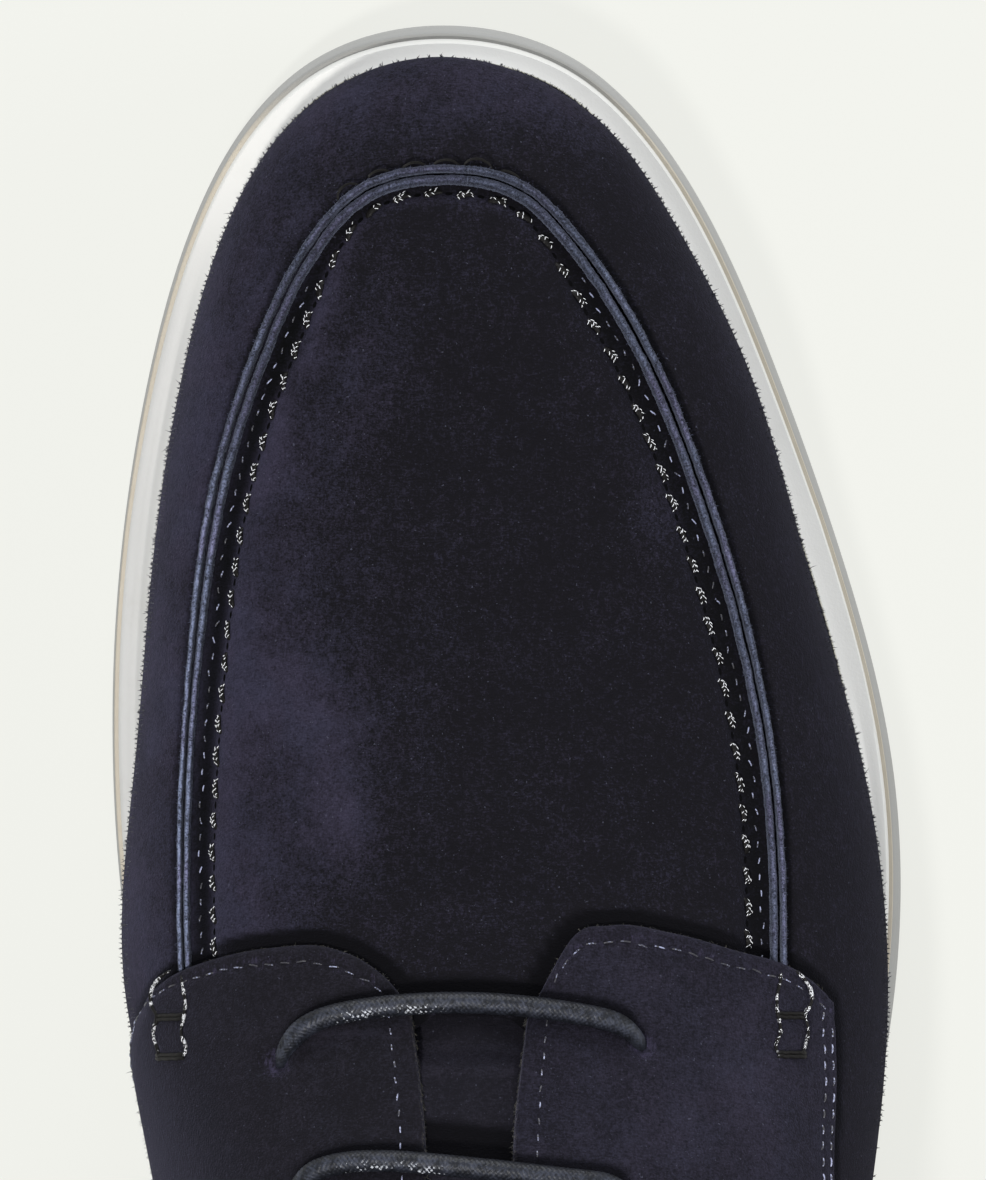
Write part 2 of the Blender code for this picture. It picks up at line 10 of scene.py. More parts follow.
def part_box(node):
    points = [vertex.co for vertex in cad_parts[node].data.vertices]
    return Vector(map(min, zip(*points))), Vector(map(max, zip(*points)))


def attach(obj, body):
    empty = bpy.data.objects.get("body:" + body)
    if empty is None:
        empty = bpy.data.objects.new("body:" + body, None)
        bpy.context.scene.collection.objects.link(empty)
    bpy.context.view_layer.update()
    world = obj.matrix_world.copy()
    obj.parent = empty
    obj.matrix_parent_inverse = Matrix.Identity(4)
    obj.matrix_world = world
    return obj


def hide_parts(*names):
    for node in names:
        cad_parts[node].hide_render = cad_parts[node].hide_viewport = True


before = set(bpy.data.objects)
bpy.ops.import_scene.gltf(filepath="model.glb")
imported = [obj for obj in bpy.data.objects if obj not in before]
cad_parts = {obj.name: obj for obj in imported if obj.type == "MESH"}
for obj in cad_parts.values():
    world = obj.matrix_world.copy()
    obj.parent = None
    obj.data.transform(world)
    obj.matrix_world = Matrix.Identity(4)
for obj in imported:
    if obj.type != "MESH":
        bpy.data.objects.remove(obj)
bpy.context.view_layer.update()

# OUTSOLE. One moulding of off-white rubber, cemented under the midsole board: tread, arch, toe spring and a
# low wall that spreads towards the floor and shows as a grey rim. Sizes here and below are in millimetres,
# and a station is a distance along the shoe from the back of the heel.

MM = 0.001
MEDIAL = 1
LATERAL = -1
HEEL_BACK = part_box("outsole")[0][0]     # frame's x of station 0
LENGTH = 303.0
HEEL_RISE = 14.3
HEEL_BREAST = 77.0
WAIST_BACK = 80.0
BALL_BACK = 190.0
BALL_FRONT = 235.0
TOE_SPRING = 9.5
SPRING_POWER = 1.6
OUTSOLE_TOP = 5.2
MIDSOLE_TOP = 6.6
WELT_TOP = 9.1
SOLE_TIPS = ((0.0, 1.0), (LENGTH, 9.4))
SOLE_EDGE = (                           # station, medial, lateral
    (4.5, 16.0, 14.0),
    (16.0, 28.5, 26.5),
    (34.0, 34.5, 32.8),
    (60.0, 35.2, 35.2),
    (90.0, 35.5, 38.5),
    (118.0, 39.5, 44.0),
    (145.0, 46.5, 50.0),
    (170.0, 52.2, 54.2),
    (200.0, 55.0, 53.7),
    (230.0, 53.8, 46.3),
    (255.0, 49.8, 37.5),
    (275.8, 43.7, 28.4),
    (289.0, 36.6, 19.8),
    (298.0, 27.3, 9.9),
)
SOLE_CELLS = 220                        # sections along the sole
WALL_SPREAD = 0.7                       # how far the wall's foot stands out past its top, on the middle line
SIDE_SPREAD = 0.4                       # this much more on the lateral edge and less on the medial
BALL_HALF = 55.0
TOE_LOSES = 0.7                         # share of the spread that is lost at the toe
TREAD_COLUMNS = 72
TREAD_PITCH = 5.6                       # cross grooves of the tread
TREAD_GROOVE = 1.5
TREAD_DEPTH = 0.9
TREAD_BORDER = 5.0
TREAD_SWING = 1.6                       # each groove swings to and fro that far
TREAD_BEND = 4.5
TREAD_BACK = 166.0                      # the grooves lie between these two stations
TREAD_FRONT = 286.0
# The rubber's two tones are painted grey, darker than off-white rubber: painted shade for the wall's grey
# rim.
RUBBER_DARK = (0.290, 0.290, 0.285)
RUBBER_LIGHT = (0.330, 0.330, 0.325)
OUTSOLE_WALL = (                        # share of the flare, height, inset
    (0.0, 0.0, 1.00),
    (0.0, 0.12, 0.55),
    (0.0, 0.40, 0.20),
    (0.0, 0.95, 0.0),
    (0.35, 2.4, 0.0),
    (0.60, 3.5, 0.0),
    (0.95, 4.9, 0.0),
    (1.0, 5.1, 0.10),
    (1.0, OUTSOLE_TOP, 0.35),
)


def smooth_path(points, closed=False, samples=24):
    """Even samples of the cubic spline through plan points."""
    knots = np.array(points, float)
    if closed:
        knots = np.vstack([knots[-4:], knots, knots[:5]])
    chord = np.linalg.norm(np.diff(knots, axis=0), axis=1)
    along = np.concatenate([[0.0], np.cumsum(chord)])
    system = np.eye(len(knots))
    pull = np.zeros_like(knots)
    for i in range(1, len(knots) - 1):
        system[i, i - 1:i + 2] = chord[i - 1], 2 * (chord[i - 1] + chord[i]), chord[i]
        pull[i] = 6 * ((knots[i + 1] - knots[i]) / chord[i] - (knots[i] - knots[i - 1]) / chord[i - 1])
    bend = np.linalg.solve(system, pull)
    first, last = (4, len(knots) - 5) if closed else (0, len(knots) - 1)
    where = np.linspace(along[first], along[last], samples * (last - first) + 1)
    k = np.clip(np.searchsorted(along, where) - 1, 0, len(chord) - 1)
    step = chord[k][:, None]
    a = (along[k + 1] - where)[:, None] / step
    b = 1 - a
    arc = ((a ** 3 - a) * bend[k] + (b ** 3 - b) * bend[k + 1]) * step ** 2 / 6
    return a * knots[k] + b * knots[k + 1] + arc


def read(table, column, station):
    """A column of a table at a station, by a smooth curve through its rows."""
    x = np.array([row[0] for row in table])
    y = np.array([row[column] for row in table])
    slope = np.gradient(y, x)
    station = np.asarray(station, float)
    k = np.clip(np.searchsorted(x, station) - 1, 0, len(x) - 2)
    step = x[k + 1] - x[k]
    t = np.clip((station - x[k]) / step, 0, 1)
    near = (1 + 2 * t) * (1 - t) ** 2 * y[k] + t * (1 - t) ** 2 * step * slope[k]
    return near + t * t * (3 - 2 * t) * y[k + 1] - t * t * (1 - t) * step * slope[k + 1]


def ease(t):
    """0 to 1 with flat ends."""
    t = np.clip(t, 0, 1)
    return t * t * (3 - 2 * t)


def hump(x, middle, half):
    """1 at the middle and 0 from half away on, with soft shoulders."""
    return ease(1 - abs(np.asarray(x) - middle) / half)


def spaced(low, high, cells):
    """Stations that crowd towards both ends, as round ends need."""
    return low + (high - low) * (1 - np.cos(np.pi * np.arange(cells + 1) / cells)) / 2


class Outline:
    """A closed plan line that runs heel, medial side, toe, lateral side."""

    def __init__(self, loop):
        loop = np.roll(loop, -np.argmin(loop[:, 0]), axis=0)
        front = np.argmax(loop[:, 0])
        self.loop = loop
        self.heel = loop[0, 0]
        self.toe = loop[front, 0]
        lateral = np.vstack([loop[front:], loop[:1]])[::-1]
        self.halves = {MEDIAL: loop[:front + 1], LATERAL: lateral}

    def across(self, station, side):
        """The line's y at a station, on one side."""
        half = self.halves[side]
        return np.interp(station, half[:, 0], half[:, 1])

    def inward(self):
        """Direction square to the line, into the loop, at each of its points."""
        along = np.roll(self.loop, -1, axis=0) - np.roll(self.loop, 1, axis=0)
        across = np.stack([along[:, 1], -along[:, 0]], axis=1)
        return across / np.linalg.norm(across, axis=1)[:, None]

    def inset(self, amount):
        """The line moved in by an amount in millimetres, one for all its points or one for each."""
        return Outline(self.loop + self.inward() * np.broadcast_to(amount, len(self.loop))[:, None])

    def ring(self, cells):
        """Stations and y once around, the two sides at the same stations."""
        stations = spaced(self.heel, self.toe, cells)
        medial = np.stack([stations, self.across(stations, MEDIAL)], axis=1)
        lateral = np.stack([stations, self.across(stations, LATERAL)], axis=1)
        return np.vstack([medial, lateral[-2:0:-1]])


def outline(tips, rows):
    """A smooth plan line through its heel and toe tips and a table's medial and lateral columns."""
    medial = [(station, across) for station, across, _ in rows]
    lateral = [(station, -across) for station, _, across in reversed(rows)]
    return Outline(smooth_path([tips[0]] + medial + [tips[1]] + lateral, closed=True, samples=60)[:-1])


def tread(station):
    """Height of the outsole's underside: heel, waist, flat ball and toe spring."""
    waist = ease((BALL_BACK - station) / (BALL_BACK - WAIST_BACK)) * HEEL_RISE
    front = np.clip((station - BALL_FRONT) / (LENGTH - BALL_FRONT), 0, None)
    return waist + TOE_SPRING * front ** SPRING_POWER


def over_tread(station, height):
    """Station and height of a point that far above the tread, square to it."""
    tilt = np.arctan(tread(station + 0.5) - tread(station - 0.5))
    return station - height * np.sin(tilt), tread(station) + height * np.cos(tilt)


def sole_ring(line, height):
    """A ring of points along a plan line, that far above the tread."""
    ring = line.ring(SOLE_CELLS)
    station, up = over_tread(ring[:, 0], height)
    return np.stack([station, ring[:, 1], up], axis=1)


def ring_faces(rings, count, closed=False):
    """Faces between rings of points, and from the last ring back to the first where it is closed."""
    faces = []
    for k in range(rings if closed else rings - 1):
        low, high = k * count, (k + 1) % rings * count
        for i in range(count):
            j = (i + 1) % count
            faces.append((low + i, low + j, high + j, high + i))
    return faces


def lid(start, count):
    """Faces straight across a ring whose two sides mirror each other about its first point."""
    faces = []
    for i in range(count // 2):
        corners = dict.fromkeys((i, i + 1, (count - i - 1) % count, (count - i) % count))
        faces.append([start + corner for corner in corners])
    return faces


def grid_faces(rows, columns, start=0, flip=False):
    """Faces between the points of a grid."""
    faces = []
    for r in range(rows - 1):
        for c in range(columns - 1):
            a = start + r * columns + c
            face = (a, a + 1, a + columns + 1, a + columns)
            faces.append(face[::-1] if flip else face)
    return faces


def stacked(rings, bottom=True):
    """Points and faces of rings that lie one over another, closed on top and, where asked, underneath."""
    count = len(rings[0])
    faces = ring_faces(len(rings), count) + lid((len(rings) - 1) * count, count)
    if bottom:
        faces += lid(0, count)
    return np.vstack(rings), faces


class Wire:
    """An output socket. Arithmetic on it adds Math nodes, or Vector Math nodes where it carries a vector."""

    def __init__(self, finish, socket):
        self.finish = finish
        self.socket = socket

    def join(self, operation, a, b):
        """The node for an operation on two values, of which at least one is a socket."""
        ends = [end for end in (a, b) if isinstance(end, Wire)]
        vector = any(end.socket.type in ("VECTOR", "RGBA") for end in ends)
        if vector:
            a, b = ((end,) * 3 if isinstance(end, (int, float)) else end for end in (a, b))
        kind = "VectorMath" if vector else "Math"
        return self.finish.node(kind, {"operation": operation}, {0: a, 1: b})

    def __add__(self, other):
        return self.join("ADD", self, other)

    def __radd__(self, other):
        return self.join("ADD", other, self)

    def __sub__(self, other):
        return self.join("SUBTRACT", self, other)

    def __rsub__(self, other):
        return self.join("SUBTRACT", other, self)

    def __mul__(self, other):
        return self.join("MULTIPLY", self, other)

    def __rmul__(self, other):
        return self.join("MULTIPLY", other, self)


class Finish:
    """A material. Constant settings of its shader are given by name, and set() links what varies."""

    def __init__(self, name, **constants):
        self.material = bpy.data.materials.new(name)
        self.material.use_nodes = True
        self.tree = self.material.node_tree
        self.shader = self.tree.nodes["Principled BSDF"]
        for key, value in constants.items():
            self.shader.inputs[key.replace("_", " ").title().replace("Ior", "IOR")].default_value = value

    def node(self, kind, settings=None, sockets=None, output=0):
        """Any node: its settings are set first, then its sockets by value or by link."""
        made = self.tree.nodes.new("ShaderNode" + kind)
        for key, value in (settings or {}).items():
            setattr(made, key, value)
        for key, value in (sockets or {}).items():
            if isinstance(value, Wire):
                self.tree.links.new(value.socket, made.inputs[key])
            else:
                made.inputs[key].default_value = value
        return Wire(self, made.outputs[output])

    def set(self, name, wire):
        """Link what varies to a socket of the shader."""
        self.tree.links.new(wire.socket, self.shader.inputs[name])

    def noise(self, size, detail=3.0, rough=0.5, stretch=(1, 1, 1), out=0.0):
        """Noise with features of that size in millimetres, stretched to run one way and moved out by some."""
        place = self.node("TexCoord", output="Object") * stretch + (out,) * 3
        sockets = {"Vector": place, "Scale": 1 / (size * MM), "Detail": detail, "Roughness": rough}
        return self.node("TexNoise", {}, sockets)

    def sharpen(self, value, low, high):
        """0 below low, 1 above high."""
        sockets = {"Value": value, "From Min": low, "From Max": high}
        return self.node("MapRange", {"clamp": True, "interpolation_type": "SMOOTHSTEP"}, sockets)

    def mix(self, share, first, second):
        """A colour between two colours, as (r, g, b) or links."""
        first, second = (end if isinstance(end, Wire) else (*end, 1) for end in (first, second))
        settings = {"data_type": "RGBA", "clamp_factor": True}
        return self.node("Mix", settings, {0: share, 6: first, 7: second}, 2)

    def read(self, name):
        """A value that a mesh carries at its points."""
        return self.node("Attribute", {"attribute_name": name}, output="Fac")

    def facing(self, direction):
        """How far the surface faces a direction, from -1 to 1."""
        normal = self.node("NewGeometry", output="Normal")
        return self.node("VectorMath", {"operation": "DOT_PRODUCT"}, {0: normal, 1: direction}, "Value")

    def bump(self, height, depth):
        """Relief of a height from 0 to 1, that deep in millimetres."""
        self.set("Normal", self.node("Bump", {}, {"Height": height, "Distance": depth * MM, "Strength": 1.0}))


def make(name, points, faces, finish, values=None, smooth_angle=45, join=0):
    """A piece from points in millimetres by station, with values at its points that its finish reads.

    Points closer together than join are welded.
    """
    placed = np.asarray(points, float) * MM + (HEEL_BACK, 0, 0)
    mesh = bpy.data.meshes.new(name)
    mesh.from_pydata(placed.tolist(), [], [list(face) for face in faces])
    for key, amounts in (values or {}).items():
        layer = mesh.attributes.new(key, "FLOAT", "POINT")
        layer.data.foreach_set("value", np.asarray(amounts, np.float32).ravel())
    if join:
        whole = bmesh.new()
        whole.from_mesh(mesh)
        bmesh.ops.remove_doubles(whole, verts=whole.verts, dist=join * MM)
        whole.to_mesh(mesh)
        whole.free()
    mesh.validate()
    mesh.shade_smooth()
    mesh.set_sharp_from_angle(angle=math.radians(smooth_angle))
    mesh.materials.append(finish.material)
    piece = bpy.data.objects.new(name, mesh)
    bpy.context.collection.objects.link(piece)
    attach(piece, "root")
    return piece


SOLE = outline(SOLE_TIPS, SOLE_EDGE)
TOEWARD = np.clip(-SOLE.inward()[:, 0], 0, 1)       # 1 where the edge faces the toe, 0 along the sides
FLARE = (WALL_SPREAD - SIDE_SPREAD * SOLE.loop[:, 1] / BALL_HALF) * (1 - TOE_LOSES * TOEWARD)


def cloudy_rubber(name, cloud, smoothest, dirt, dirt_tone):
    """Moulded rubber with a cloudy tint and a fine grain, soiled where a mask of dirt says so."""
    made = Finish(name, ior=1.5)
    grain = made.noise(0.5, 4, 0.6)
    tint = made.mix(made.noise(cloud, 2), RUBBER_DARK, RUBBER_LIGHT)
    made.set("Base Color", made.mix(dirt(made), tint, dirt_tone))
    made.set("Roughness", smoothest + grain * 0.16)
    made.bump(grain, 0.05)
    return made


def dust(made):
    """Fine dust that clings in patches."""
    return made.sharpen(made.noise(3.2, 5, 0.65, out=4), 0.56, 0.72) * 0.25


rubber = cloudy_rubber("sole_rubber", 14, 0.46, dust, (0.28, 0.26, 0.23))
rings = [sole_ring(SOLE.inset(FLARE * share + inset), height) for share, height, inset in OUTSOLE_WALL]
wall, faces = stacked(rings, bottom=False)
medial_edge = rings[0][:SOLE_CELLS + 1]
lateral_edge = np.vstack([rings[0][:1], rings[0][:SOLE_CELLS - 1:-1]])
shares = np.linspace(0, 1, TREAD_COLUMNS + 1)[:, None, None]
floor_grid = medial_edge[None] * (1 - shares) + lateral_edge[None] * shares
edge_distance = np.minimum(shares, 1 - shares)[..., 0] * (medial_edge[:, 1] - lateral_edge[:, 1])[None]
stations = floor_grid[..., 0]
wave = stations + TREAD_SWING * np.sin(floor_grid[..., 1] / TREAD_BEND)
groove = ease((TREAD_GROOVE / 2 - abs((wave / TREAD_PITCH) % 1 - 0.5) * TREAD_PITCH) / 0.4 + 0.5)
zone = ease((edge_distance - TREAD_BORDER) / 0.8)
zone = zone * ease((stations - TREAD_BACK) / 1.5) * ease((TREAD_FRONT - stations) / 1.5)
floor_grid[..., 2] += TREAD_DEPTH * groove * zone
faces += [(a, d, c, b) for a, b, c, d in grid_faces(TREAD_COLUMNS + 1, SOLE_CELLS + 1, len(wall))]
outsole = make("outsole_rubber", np.vstack([wall, floor_grid.reshape(-1, 3)]), faces, rubber)
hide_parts("outsole")

# HEEL. A low block of the same rubber, cemented under the seat of the outsole and tapered a little to the
# floor. Its breast is straight across and its underside is plain.

HEEL_CELLS = 90
BREAST_SLANT = 0.5                      # how far the breast goes back for each millimetre of inset
HEEL_WALL = (                           # inset from the outsole's edge, height
    (3.4, 0.0),
    (2.75, 0.1),
    (2.3, 0.5),
    (2.05, 1.1),
    (1.6, 4.0),
    (1.2, 8.0),
    (0.75, 12.5),
    (0.5, 14.1),
    (0.7, 14.28),
)


def scuffs(made):
    """Marks that run round the block."""
    return made.sharpen(made.noise(6, 5, 0.7, stretch=(1, 1, 3)), 0.55, 0.7) * 0.22


heel_rubber = cloudy_rubber("heel_rubber", 16, 0.48, scuffs, (0.27, 0.25, 0.225))
rings = []
shares = spaced(0, 2, 2 * HEEL_CELLS)[:HEEL_CELLS + 1]
for inset, height in HEEL_WALL:
    line = SOLE.inset(inset)
    front = HEEL_BREAST - BREAST_SLANT * (inset - 0.5)
    along = line.heel + shares * (front - line.heel)
    halves = [np.stack([along, line.across(along, side), np.full(len(along), height)], axis=1)
              for side in (MEDIAL, LATERAL)]
    rings.append(np.vstack([halves[0], halves[1][:0:-1]]))
heel = make("heel_block", *stacked(rings), heel_rubber, smooth_angle=30)
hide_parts("heel")

# MIDSOLE. A thin cream leather board between outsole and welt. Only its edge shows, as a warm line all
# round. It is cemented, and its edge is trimmed flush with the outsole's rim.

BOARD_SHADE_FROM = 284.0                      # towards the toe the board's edge is painted grey as shade, as grey as the rubber
BOARD_EDGE = (                          # inset from the rim, height
    (0.5, OUTSOLE_TOP),
    (0.08, 5.25),
    (0.0, 5.5),
    (0.0, 6.3),
    (0.1, 6.55),
    (0.5, MIDSOLE_TOP),
)

board = Finish("midsole_board", roughness=0.7)
layers = board.noise(0.35, 3, 0.6, stretch=(0.15, 0.15, 2.5))
tan = board.mix(board.noise(5, 3), (0.47, 0.42, 0.34), (0.56, 0.52, 0.44))
tan = board.mix(layers * 0.5, tan, (0.38, 0.33, 0.26))
# Painted shade: the board's edge turns grey towards the toe.
board.set("Base Color", board.mix(board.read("dusty"), tan, (0.26, 0.26, 0.25)))
board.bump(layers, 0.08)

rim = SOLE.inset(FLARE)
rings = [sole_ring(rim.inset(inset), height) for inset, height in BOARD_EDGE]
dusty = np.concatenate([0.95 * ease((ring[:, 0] - BOARD_SHADE_FROM) / 13) for ring in rings])
midsole = make("midsole_board", *stacked(rings), board, {"dusty": dusty})
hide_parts("midsole")

# WELT. A white rubber strip round the upper, cemented to the midsole board. It is flat on top, its outer
# edge is rounded, and a low lip rises against the suede. Round the toe it is one smooth ramp. It is bare of
# stitches.

CLEAR = 0.3                             # air between two pieces that lie on each other
WALL = 1.8                              # thickness of the upper's wall
INSOLE_EASE = 0.5                       # room between the upper's wall and the insole
MIDSOLE_LEDGE = 0.6                     # strip of the midsole that shows outside the welt
WELT_BACK = 3.3                         # how much of the welt shows at the back
WELT_MORE = 1.9                         # and how much more in front, from this station on
WELT_WIDENS = 120.0
LIP_RISE = 1.2
LIP_GAP = 0.3                           # between the lip and the suede
RAMP_MEDIAL = 248.0                     # in front of these two stations it is one smooth ramp with no lip
RAMP_LATERAL = 180.0
RAMP_LONG = 34.0
TOE_RAMP = (0.95, 0.30)                 # rise across the ramp: even part, part that grows inward
PAINTED_LIGHT_Y = 6.0                           # painted light: the rubber is painted whiter on the lateral side and round the toe
PAINTED_LIGHT_TOE = 258.0
LEAN = SOLE.loop[:, 0] - over_tread(SOLE.loop[:, 0], WELT_TOP)[0]
WELT_SHOWS = WELT_BACK + WELT_MORE * ease((SOLE.loop[:, 0] - WELT_WIDENS) / 70) - LEAN * TOEWARD
FEATHER = SOLE.inset(WELT_SHOWS)        # the upper's edge on the welt
WELT_PROFILE = (                        # share of the width from the outer edge to the lip, height
    (0.0, MIDSOLE_TOP),
    (0.0, MIDSOLE_TOP + 0.4),
    (0.0, WELT_TOP - 0.75),
    (0.02, WELT_TOP - 0.4),
    (0.07, WELT_TOP - 0.12),
    (0.14, WELT_TOP),
    (0.36, WELT_TOP + 0.02),
    (0.55, WELT_TOP),
    (0.60, WELT_TOP + 0.06),
    (0.66, WELT_TOP + 0.30),
    (0.78, WELT_TOP + 0.85),
    (0.84, WELT_TOP + 1.12),
    (0.89, WELT_TOP + LIP_RISE),
    (0.95, WELT_TOP + LIP_RISE),
    (0.99, WELT_TOP + 1.1),
    (1.0, WELT_TOP + 0.8),
    (1.0, WELT_TOP - 0.3),
)

white = Finish("welt_rubber", roughness=0.42, ior=1.5)
smudge = white.sharpen(white.noise(9, 4, 0.6, out=2), 0.52, 0.75)
white_grain = white.noise(0.4, 3, 0.6)
# Painted light: the welt is painted whiter on the lateral side and round the toe, where the upper keeps the
# lamp off it.
plain_white = white.mix(smudge * 0.5, (0.550, 0.550, 0.538), (0.490, 0.485, 0.462))
painted_light_white = white.mix(smudge * 0.5, (0.790, 0.786, 0.760), (0.730, 0.724, 0.695))
white_tint = white.mix(white.read("painted_light_white"), plain_white, painted_light_white)
# Painted shade: the welt's rounded outer edge is painted darker, to dim its highlight.
rim_shade = white.sharpen(1 - white.read("lip"), 0.89, 0.97)
white_tint = white.mix(rim_shade * 0.45, white_tint, (0.50, 0.50, 0.49))
# Darker and yellowish on the strip against the suede.
against_suede = white.sharpen(white.read("lip"), 0.91, 0.99)
white_tint = white.mix(against_suede * 0.75, white_tint, (0.42, 0.40, 0.27))
# Painted shade on the lip's slope, away from the toe's ramp.
white.set("Base Color", white.mix(white.read("groove") * 0.20, white_tint, (0.36, 0.36, 0.35)))
white.set("Roughness", 0.36 + white_grain * 0.14)
white.bump(white_grain, 0.03)

edge = FLARE + MIDSOLE_LEDGE * (1 - 0.15 * TOEWARD ** 2)
width = WELT_SHOWS - LIP_GAP - edge
rings = []
lip_values = []
groove_shade_values = []
around = SOLE.ring(SOLE_CELLS)
front = np.where(around[:, 1] < 0, RAMP_LATERAL, RAMP_MEDIAL)
low = ease((around[:, 0] - front) / RAMP_LONG)
painted_light_share = np.maximum(ease((PAINTED_LIGHT_Y - around[:, 1]) / 34), ease((around[:, 0] - PAINTED_LIGHT_TOE) / 30))
for share, height in WELT_PROFILE:
    line = SOLE.inset(edge + width * share)
    crown = height
    if 0.05 < share < 0.96:
        crown = WELT_TOP - 0.12 + TOE_RAMP[0] * share + TOE_RAMP[1] * share ** 3
    rings.append(sole_ring(line, height + (crown - height) * low))
    lip_values.append(np.full(len(low), share))
    groove_shade_values.append(hump(share, 0.70, 0.15) * (1 - low))
inside = FEATHER.inset(WALL + INSOLE_EASE)
for height in (WELT_TOP - 0.3, MIDSOLE_TOP):
    rings.append(sole_ring(inside, height))
    lip_values.append(np.ones(len(low)))
    groove_shade_values.append(np.zeros(len(low)))
values = {"lip": np.concatenate(lip_values), "groove": np.concatenate(groove_shade_values),
          "painted_light_white": np.tile(painted_light_share, len(rings))}
faces = ring_faces(len(rings), 2 * SOLE_CELLS, closed=True)
welt = make("welt_strip", np.vstack(rings), faces, white, values)
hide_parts("welt")

# INSOLE. A board with a tan leather sock glued on, laid inside the welt. Its edge is turned down, and the
# leather has pores and a cloudy tone.

INSOLE_TOP = 10.0
INSOLE_EDGE = (                         # inset from the insole's own edge, height
    (0.0, MIDSOLE_TOP + 0.1),
    (0.0, INSOLE_TOP - 0.7),
    (0.2, INSOLE_TOP - 0.25),
    (0.7, INSOLE_TOP),
    (3.0, INSOLE_TOP + 0.05),
)


def leather(name, dark, light, roughness=0.5):
    """Smooth vegetable-tanned leather with pores and a cloudy tone."""
    made = Finish(name, roughness=roughness)
    cloudy = made.noise(18, 4, 0.55)
    pores = made.sharpen(made.noise(0.55, 2, 0.5), 0.30, 0.5)
    wrinkle = made.noise(2.2, 5, 0.6)
    tone = made.mix(cloudy, dark, light)
    made.set("Base Color", made.mix((1 - pores) * 0.35, tone, tuple(part * 0.5 for part in dark)))
    made.set("Roughness", roughness - 0.06 + wrinkle * 0.16)
    made.bump(pores * 0.5 + wrinkle * 0.5, 0.12)
    return made


sock_leather = leather("insole_leather", (0.30, 0.17, 0.085), (0.42, 0.26, 0.14))
line = FEATHER.inset(WALL + INSOLE_EASE + CLEAR)
rings = [sole_ring(line.inset(inset), height) for inset, height in INSOLE_EDGE]
insole = make("insole_sock", *stacked(rings), sock_leather)
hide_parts("insole")

# VAMP AND APRON. The upper's front is two pieces of brushed navy suede: the guard that stands up from the
# welt all round, and the apron on top. Their raw edges meet in a standing seam. Both are one skin here,
# with soft walking creases and the valley inside the seam where the hand stitches pull the apron down.

UPPER_TIPS = ((3.0, 1.0), (298.25, 9.3))
UPPER_EDGE = (                          # station, medial, lateral
    (7.2, 15.0, 13.0),
    (18.0, 26.3, 24.3),
    (36.0, 32.5, 31.0),
    (62.0, 34.8, 35.0),
    (90.0, 37.8, 39.3),
    (118.0, 43.0, 46.2),
    (147.6, 48.7, 51.4),
    (170.0, 53.3, 52.9),
    (200.0, 51.8, 49.4),
    (230.0, 49.1, 41.1),
    (255.0, 45.0, 33.5),
    (275.8, 38.6, 22.9),
    (289.0, 30.2, 13.2),
    (295.3, 21.6, 3.6),
)
LAST = (                                # station, ridge y, ridge height, rise of the widest line, fullness
    (0.0, 1.0, 128.0, 24.0, 2.30),
    (40.0, 1.2, 128.0, 24.0, 2.30),
    (70.0, 2.0, 118.0, 21.0, 2.20),
    (100.0, 3.8, 94.0, 18.0, 2.00),
    (130.0, 5.0, 78.0, 15.5, 1.95),
    (165.0, 5.3, 62.0, 12.0, 2.00),
    (200.0, 5.6, 52.0, 9.5, 2.15),
    (235.0, 6.6, 46.5, 8.5, 2.30),
    (265.0, 8.2, 43.0, 8.0, 2.45),
    (298.6, 9.3, 37.0, 7.5, 2.50),
)
RIDGE_Y, RIDGE_HEIGHT, WIDEST, FULLNESS = 1, 2, 3, 4
TOE_REACH = 34.0                        # how far the sections fan out towards the toe and the heel
HEEL_REACH = 28.0
FAN = 0.35
WIDE = 0.2                              # level of the widest line, from 0 on the welt to 1 at the ridge
TUCK_REACH = 0.88
TUCK_POWER = 2.2
THROAT = 167.0                          # front end of the throat
THROAT_HALF = 9.0
THROAT_ROUND = 5.0
SEAM_REST = (130.0, 0.42)               # behind this station the seam's row rests at that share of the height
SEAM_SHOWS = 160.0                      # from here on seam, valley and creases show
TOE_TURN = 262.0                        # the seam turns round the toe from here on
TOE_TURN_LONG = 18.0
APRON_ENDS = ((150.0, 44.0), (150.0, -37.2))
APRON_TIP = (281.8, 9.6)
APRON = (                               # station, medial, lateral
    (171.0, 44.8, 37.6),
    (198.0, 44.7, 36.5),
    (218.0, 43.15, 32.85),
    (238.0, 40.2, 26.9),
    (258.0, 33.9, 18.6),
    (273.4, 25.9, 8.5),
    (279.5, 19.5, 1.9),
)
COLLAR = (                              # station, height of the top line
    (0.0, 81.0),
    (20.0, 77.0),
    (45.0, 69.0),
    (65.0, 68.5),
    (82.0, 76.0),
    (95.0, 91.0),
    (104.0, 106.0),
)
SLOT_BACK = 77.0                        # behind this the throat is open to the collar
VALLEY = (                              # distance inside the seam, depth of the apron there at the sides
    (-4.0, 0.0),
    (-2.4, 0.05),
    (-1.5, 0.35),
    (0.0, 0.3),
    (1.6, 0.55),
    (3.0, 0.95),
    (4.5, 1.15),
    (5.6, 0.65),
    (7.0, 0.15),
    (9.0, -0.12),
    (12.0, 0.0),
)
CREASES = (                             # station and y of the middle, half length across, half width, depth
    (183.0, 8.0, 26.0, 5.0, 0.55),
    (191.5, 14.0, 20.0, 4.5, -0.35),
    (202.0, 20.0, 15.0, 9.0, 0.30),
    (226.0, 4.0, 18.0, 12.0, -0.25),
    (262.0, 22.0, 12.0, 8.0, 0.20),
)
LIGHT_PATCHES = (                             # painted light in patches: station and y, reach along and across, share
    (198.5, 24.2, 9.0, 4.8, 0.62),
    (212.0, 31.0, 30.0, 10.0, 0.20),
    (249.0, 24.0, 16.0, 9.0, 0.12),
    (237.0, -20.0, 15.0, 4.5, 0.24),
    (186.0, -2.0, 7.0, 16.0, 0.07),
    (206.0, -51.0, 13.0, 4.0, 0.10),
    (294.0, 13.0, 6.0, 18.0, 0.10),
    (268.0, 38.0, 22.0, 5.0, -0.10),
)
